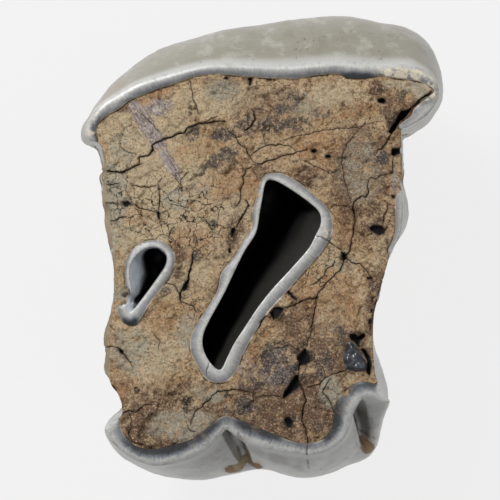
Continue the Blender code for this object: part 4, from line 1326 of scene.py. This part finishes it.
def outer_enamel():
    """The enamel's grown outer wall, smooth and faintly wavy: olive grey, with patches of cement, a painted
    highlight just under the edge and painted shade in its grooves.
    """
    material, tree, surface, grid = new_material("outer_enamel", IOR=1.62)
    marks = {}
    for name in ("across", "cement", "cementum", "ochre", "dark", "crack"):
        marks[name] = add(tree, "ShaderNodeAttribute", attribute_name=name).outputs["Fac"]
    upright = add(tree, "ShaderNodeMapping", {"Vector": grid, "Scale": (1.0, 1.0, 0.16)}).outputs[0]
    level = add(tree, "ShaderNodeMapping", {"Vector": grid, "Scale": (0.05, 0.05, 1.6)}).outputs[0]
    noises = {}
    for name, place, scale, detail in (("streaks", upright, 0.4, 8.0), ("growth", level, 1.0, 3.0),
                                       ("cloud", grid, 0.3, 7.0), ("grit", grid, 2.2, 6.0)):
        noises[name] = add(tree, "ShaderNodeTexNoise", {"Vector": place, "Scale": scale, "Detail": detail,
                                                        "Roughness": 0.66}).outputs["Fac"]
    torn = add(tree, "ShaderNodeMath", {0: marks["cement"], 1: noises["grit"]}, operation="ADD")
    flaked = add(tree, "ShaderNodeMapRange", {"Value": torn.outputs[0], "From Min": 0.95,
                                              "From Max": 1.08}, interpolation_type="SMOOTHSTEP")
    patches = flaked.outputs[0]
    enamel = laid_over(tree, linear("#8E8E8B"), [
        (marks["cementum"], 0.0, 1.0, 1.0, "#7C786A"),
        (noises["streaks"], 0.50, 0.66, 0.5, "#A5A299"),
        (noises["streaks"], 0.45, 0.32, 0.5, "#676353"),
        (noises["cloud"], 0.52, 0.66, 0.45, "#6F6B5A"),
        (noises["growth"], 0.50, 0.70, 0.25, "#6F6B5E"),
        (noises["grit"], 0.42, 0.30, 0.45, "#675842"),
        # Painted highlight, lighter just under the chewing edge
        (marks["across"], 0.0, 1.0, 0.85, "#ABABA7"),
    ])
    crust = laid_over(tree, linear("#826C50"), [
        (noises["streaks"], 0.44, 0.62, 0.8, "#A0906F"),
        (noises["grit"], 0.48, 0.66, 0.7, "#A99877"),
        (noises["grit"], 0.44, 0.32, 0.8, "#45352A"),
    ])
    mixed = add(tree, "ShaderNodeMix", {FACTOR: patches, BELOW: enamel, ABOVE: crust}, data_type="RGBA")
    colour = laid_over(tree, mixed.outputs[RESULT], [
        (marks["ochre"], 0.0, 1.0, 1.0, "#7A5A36"),
        # Painted shade down the wall's grooves and folds
        (marks["dark"], 0.0, 1.0, 1.0, "#2B241B"),
        # Near black in the cracks, and as painted shade in the holes seen down the wall
        (marks["crack"], 0.0, 1.0, 1.0, "#100D0A"),
    ])
    tree.links.new(colour, surface.inputs["Base Color"])
    dull = add(tree, "ShaderNodeMapRange", {"Value": patches, "To Min": 0.30, "To Max": 0.85})
    tree.links.new(dull.outputs[0], surface.inputs["Roughness"])
    rough_cement = add(tree, "ShaderNodeMath", {0: noises["grit"], 1: patches}, operation="MULTIPLY")
    waves = add(tree, "ShaderNodeBump", {"Height": noises["growth"], "Strength": 0.25,
                                         "Distance": 0.1 * MM})
    bumps = add(tree, "ShaderNodeBump", {"Height": rough_cement.outputs[0], "Strength": 0.9,
                                         "Distance": 0.4 * MM, "Normal": waves.outputs["Normal"]})
    tree.links.new(bumps.outputs["Normal"], surface.inputs["Normal"])
    return material


def root_cement():
    """Root cement and broken dentine, as dug up: matt yellow-brown, rough and earthy."""
    material, tree, surface, grid = new_material("root_cement", Roughness=0.88, IOR=1.5)
    upright = add(tree, "ShaderNodeMapping", {"Vector": grid, "Scale": (1.0, 1.0, 0.4)})
    broad = add(tree, "ShaderNodeTexNoise", {"Vector": upright.outputs[0], "Scale": 0.3, "Detail": 6.0})
    grit = add(tree, "ShaderNodeTexNoise", {"Vector": grid, "Scale": 2.4, "Detail": 7.0, "Roughness": 0.7})
    canal = add(tree, "ShaderNodeAttribute", attribute_name="crack").outputs["Fac"]
    bent = add(tree, "ShaderNodeVectorMath", {0: broad.outputs["Color"], 1: (5, 5, 5),
                                              2: upright.outputs[0]}, operation="MULTIPLY_ADD")
    blocks = add(tree, "ShaderNodeTexVoronoi", {"Vector": bent.outputs[0], "Scale": 0.26},
                 feature="DISTANCE_TO_EDGE")
    ragged = add(tree, "ShaderNodeMath", {0: grit.outputs["Fac"], 1: 0.10, 2: blocks.outputs["Distance"]},
                 operation="MULTIPLY_ADD")
    line = add(tree, "ShaderNodeMapRange", {"Value": ragged.outputs[0], "From Min": 0.080,
                                            "From Max": 0.055}, interpolation_type="SMOOTHSTEP")
    dried = add(tree, "ShaderNodeMapRange", {"Value": broad.outputs["Fac"], "From Min": 0.47,
                                             "From Max": 0.56})
    split = add(tree, "ShaderNodeMath", {0: line.outputs[0], 1: dried.outputs[0]},
                operation="MULTIPLY").outputs[0]
    colour = laid_over(tree, linear("#A08C68"), [
        (broad.outputs["Fac"], 0.40, 0.66, 1.0, "#7A6347"),
        (grit.outputs["Fac"], 0.50, 0.72, 0.7, "#BFAD8C"),
        (grit.outputs["Fac"], 0.42, 0.28, 0.6, "#54412F"),
        (split, 0.0, 1.0, 0.8, "#33261B"),
        (canal, 0.0, 1.0, 1.0, "#1B1410"),
    ])
    tree.links.new(colour, surface.inputs["Base Color"])
    height = add(tree, "ShaderNodeMath", {0: split, 1: -0.8, 2: grit.outputs["Fac"]},
                 operation="MULTIPLY_ADD")
    bumps = add(tree, "ShaderNodeBump", {"Height": height.outputs[0], "Strength": 0.9,
                                         "Distance": 0.4 * MM})
    tree.links.new(bumps.outputs["Normal"], surface.inputs["Normal"])
    return material


def pit_enamel():
    """The enamel lining of the two pits, never worn: grey in the small pit, dark in the long one, and black
    further down: painted shade of the deep hollows.
    """
    material, tree, surface, grid = new_material("pit_enamel", Roughness=0.5, IOR=1.62)
    height = add(tree, "ShaderNodeSeparateXYZ", {"Vector": grid}).outputs["Z"]
    pale_lining = add(tree, "ShaderNodeAttribute", attribute_name="pale").outputs["Fac"]
    streaks = add(tree, "ShaderNodeTexNoise", {"Vector": grid, "Scale": 1.1, "Detail": 5.0,
                                               "Roughness": 0.6})
    ragged = add(tree, "ShaderNodeMath", {0: streaks.outputs["Fac"], 1: -1.6, 2: height},
                 operation="MULTIPLY_ADD").outputs[0]
    # Painted shade: the lining darkens to black with depth, and the long pit's lining is dark from the
    # mouth down
    colour = laid_over(tree, linear("#1D1C18"), [
        (pale_lining, 0.0, 1.0, 1.0, "#A4AAAF"),
        (ragged, TOOTH_HEIGHT - 2.6, TOOTH_HEIGHT - 4.6, 0.85, "#1F1E19"),
        (ragged, TOOTH_HEIGHT - 3.0, TOOTH_HEIGHT - 6.5, 1.0, "#0A0908"),
    ])
    tree.links.new(colour, surface.inputs["Base Color"])
    bumps = add(tree, "ShaderNodeBump", {"Height": streaks.outputs["Fac"], "Strength": 0.3,
                                         "Distance": 0.2 * MM})
    tree.links.new(bumps.outputs["Normal"], surface.inputs["Normal"])
    return material


def glassy_nodule():
    """A nodule of dark mineral, rounded as it grew: slate grey with a wet-looking gloss."""
    material, tree, surface, grid = new_material("glassy_nodule", Roughness=0.30, IOR=1.6)
    cloud = add(tree, "ShaderNodeTexNoise", {"Vector": grid, "Scale": 1.2, "Detail": 4.0})
    colour = laid_over(tree, linear("#26292E"), [(cloud.outputs["Fac"], 0.4, 0.7, 0.8, "#50555C")])
    tree.links.new(colour, surface.inputs["Base Color"])
    bumps = add(tree, "ShaderNodeBump", {"Height": cloud.outputs["Fac"], "Strength": 0.2,
                                         "Distance": 0.2 * MM})
    tree.links.new(bumps.outputs["Normal"], surface.inputs["Normal"])
    return material


def floor_material():
    """Matt white card, lit so evenly that the tooth's shadow hardly shows on it."""
    material = bpy.data.materials.new("pale_card")
    material.use_nodes = True
    surface = material.node_tree.nodes["Principled BSDF"]
    surface.inputs["Base Color"].default_value = linear("#3C3C3C")
    surface.inputs["Roughness"].default_value = 0.9
    surface.inputs["Emission Color"].default_value = (1, 1, 1, 1)
    surface.inputs["Emission Strength"].default_value = 0.82
    return material


def floor():
    """The pale ground that the tooth stands on."""
    mesh = bpy.data.meshes.new("pale_floor")
    half = FLOOR_SIDE / 2 * MM
    mesh.from_pydata([(-half, -half, 0), (half, -half, 0), (half, half, 0), (-half, half, 0)], [],
                     [(0, 1, 2, 3)])
    mesh.materials.append(floor_material())
    ground = bpy.data.objects.new("pale_floor", mesh)
    bpy.context.scene.collection.objects.link(ground)


def soft_light(name, place, size, power):
    """A square studio light of a size in millimetres, facing the tooth."""
    light = bpy.data.lights.new(name, "AREA")
    light.size = size * MM
    light.energy = power
    lamp = bpy.data.objects.new(name, light)
    lamp.location = Vector(place) * MM
    lamp.rotation_euler = (Vector((0, 0, TOOTH_HEIGHT)) - Vector(place)).to_track_quat("-Z", "Y").to_euler()
    bpy.context.scene.collection.objects.link(lamp)


def studio():
    """Even light from all round, a soft key light from the upper left and the camera overhead."""
    world = bpy.data.worlds.new("studio")
    world.use_nodes = True
    world.node_tree.nodes["Background"].inputs["Color"].default_value = (1, 1, 1, 1)
    world.node_tree.nodes["Background"].inputs["Strength"].default_value = 0.30
    bpy.context.scene.world = world
    soft_light("key_light", (-210, 310, 420), 180, 3.15)
    soft_light("fill_light", (320, -260, 380), 240, 0.4)
    lens = bpy.data.cameras.new("overhead")
    lens.angle = 2 * math.atan(PHOTO_SIDE * PIXEL / 2 / CAMERA_RISE)
    lens.clip_start = 0.01
    camera = bpy.data.objects.new("overhead", lens)
    camera.location = Vector((*CAMERA_SPOT, TOOTH_HEIGHT + CAMERA_RISE)) * MM
    bpy.context.scene.collection.objects.link(camera)
    bpy.context.scene.camera = camera
    bpy.context.scene.view_settings.view_transform = "Standard"


# What each corner of the skin carries for its finish to read
MARKS = ["along", "across", "crack", "halo", "sunk", "cement", "dark_enamel"] + list(STAINS)
# The finishes, in the order of the mesh's materials
FINISHES = [cracked_dentine, worn_enamel, outer_enamel, root_cement, pit_enamel, glassy_nodule]

studio()
floor()
tooth = bpy.data.objects.new("fossil_tooth", tooth_mesh())
bpy.context.scene.collection.objects.link(tooth)
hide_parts("molar")
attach(tooth, "root")
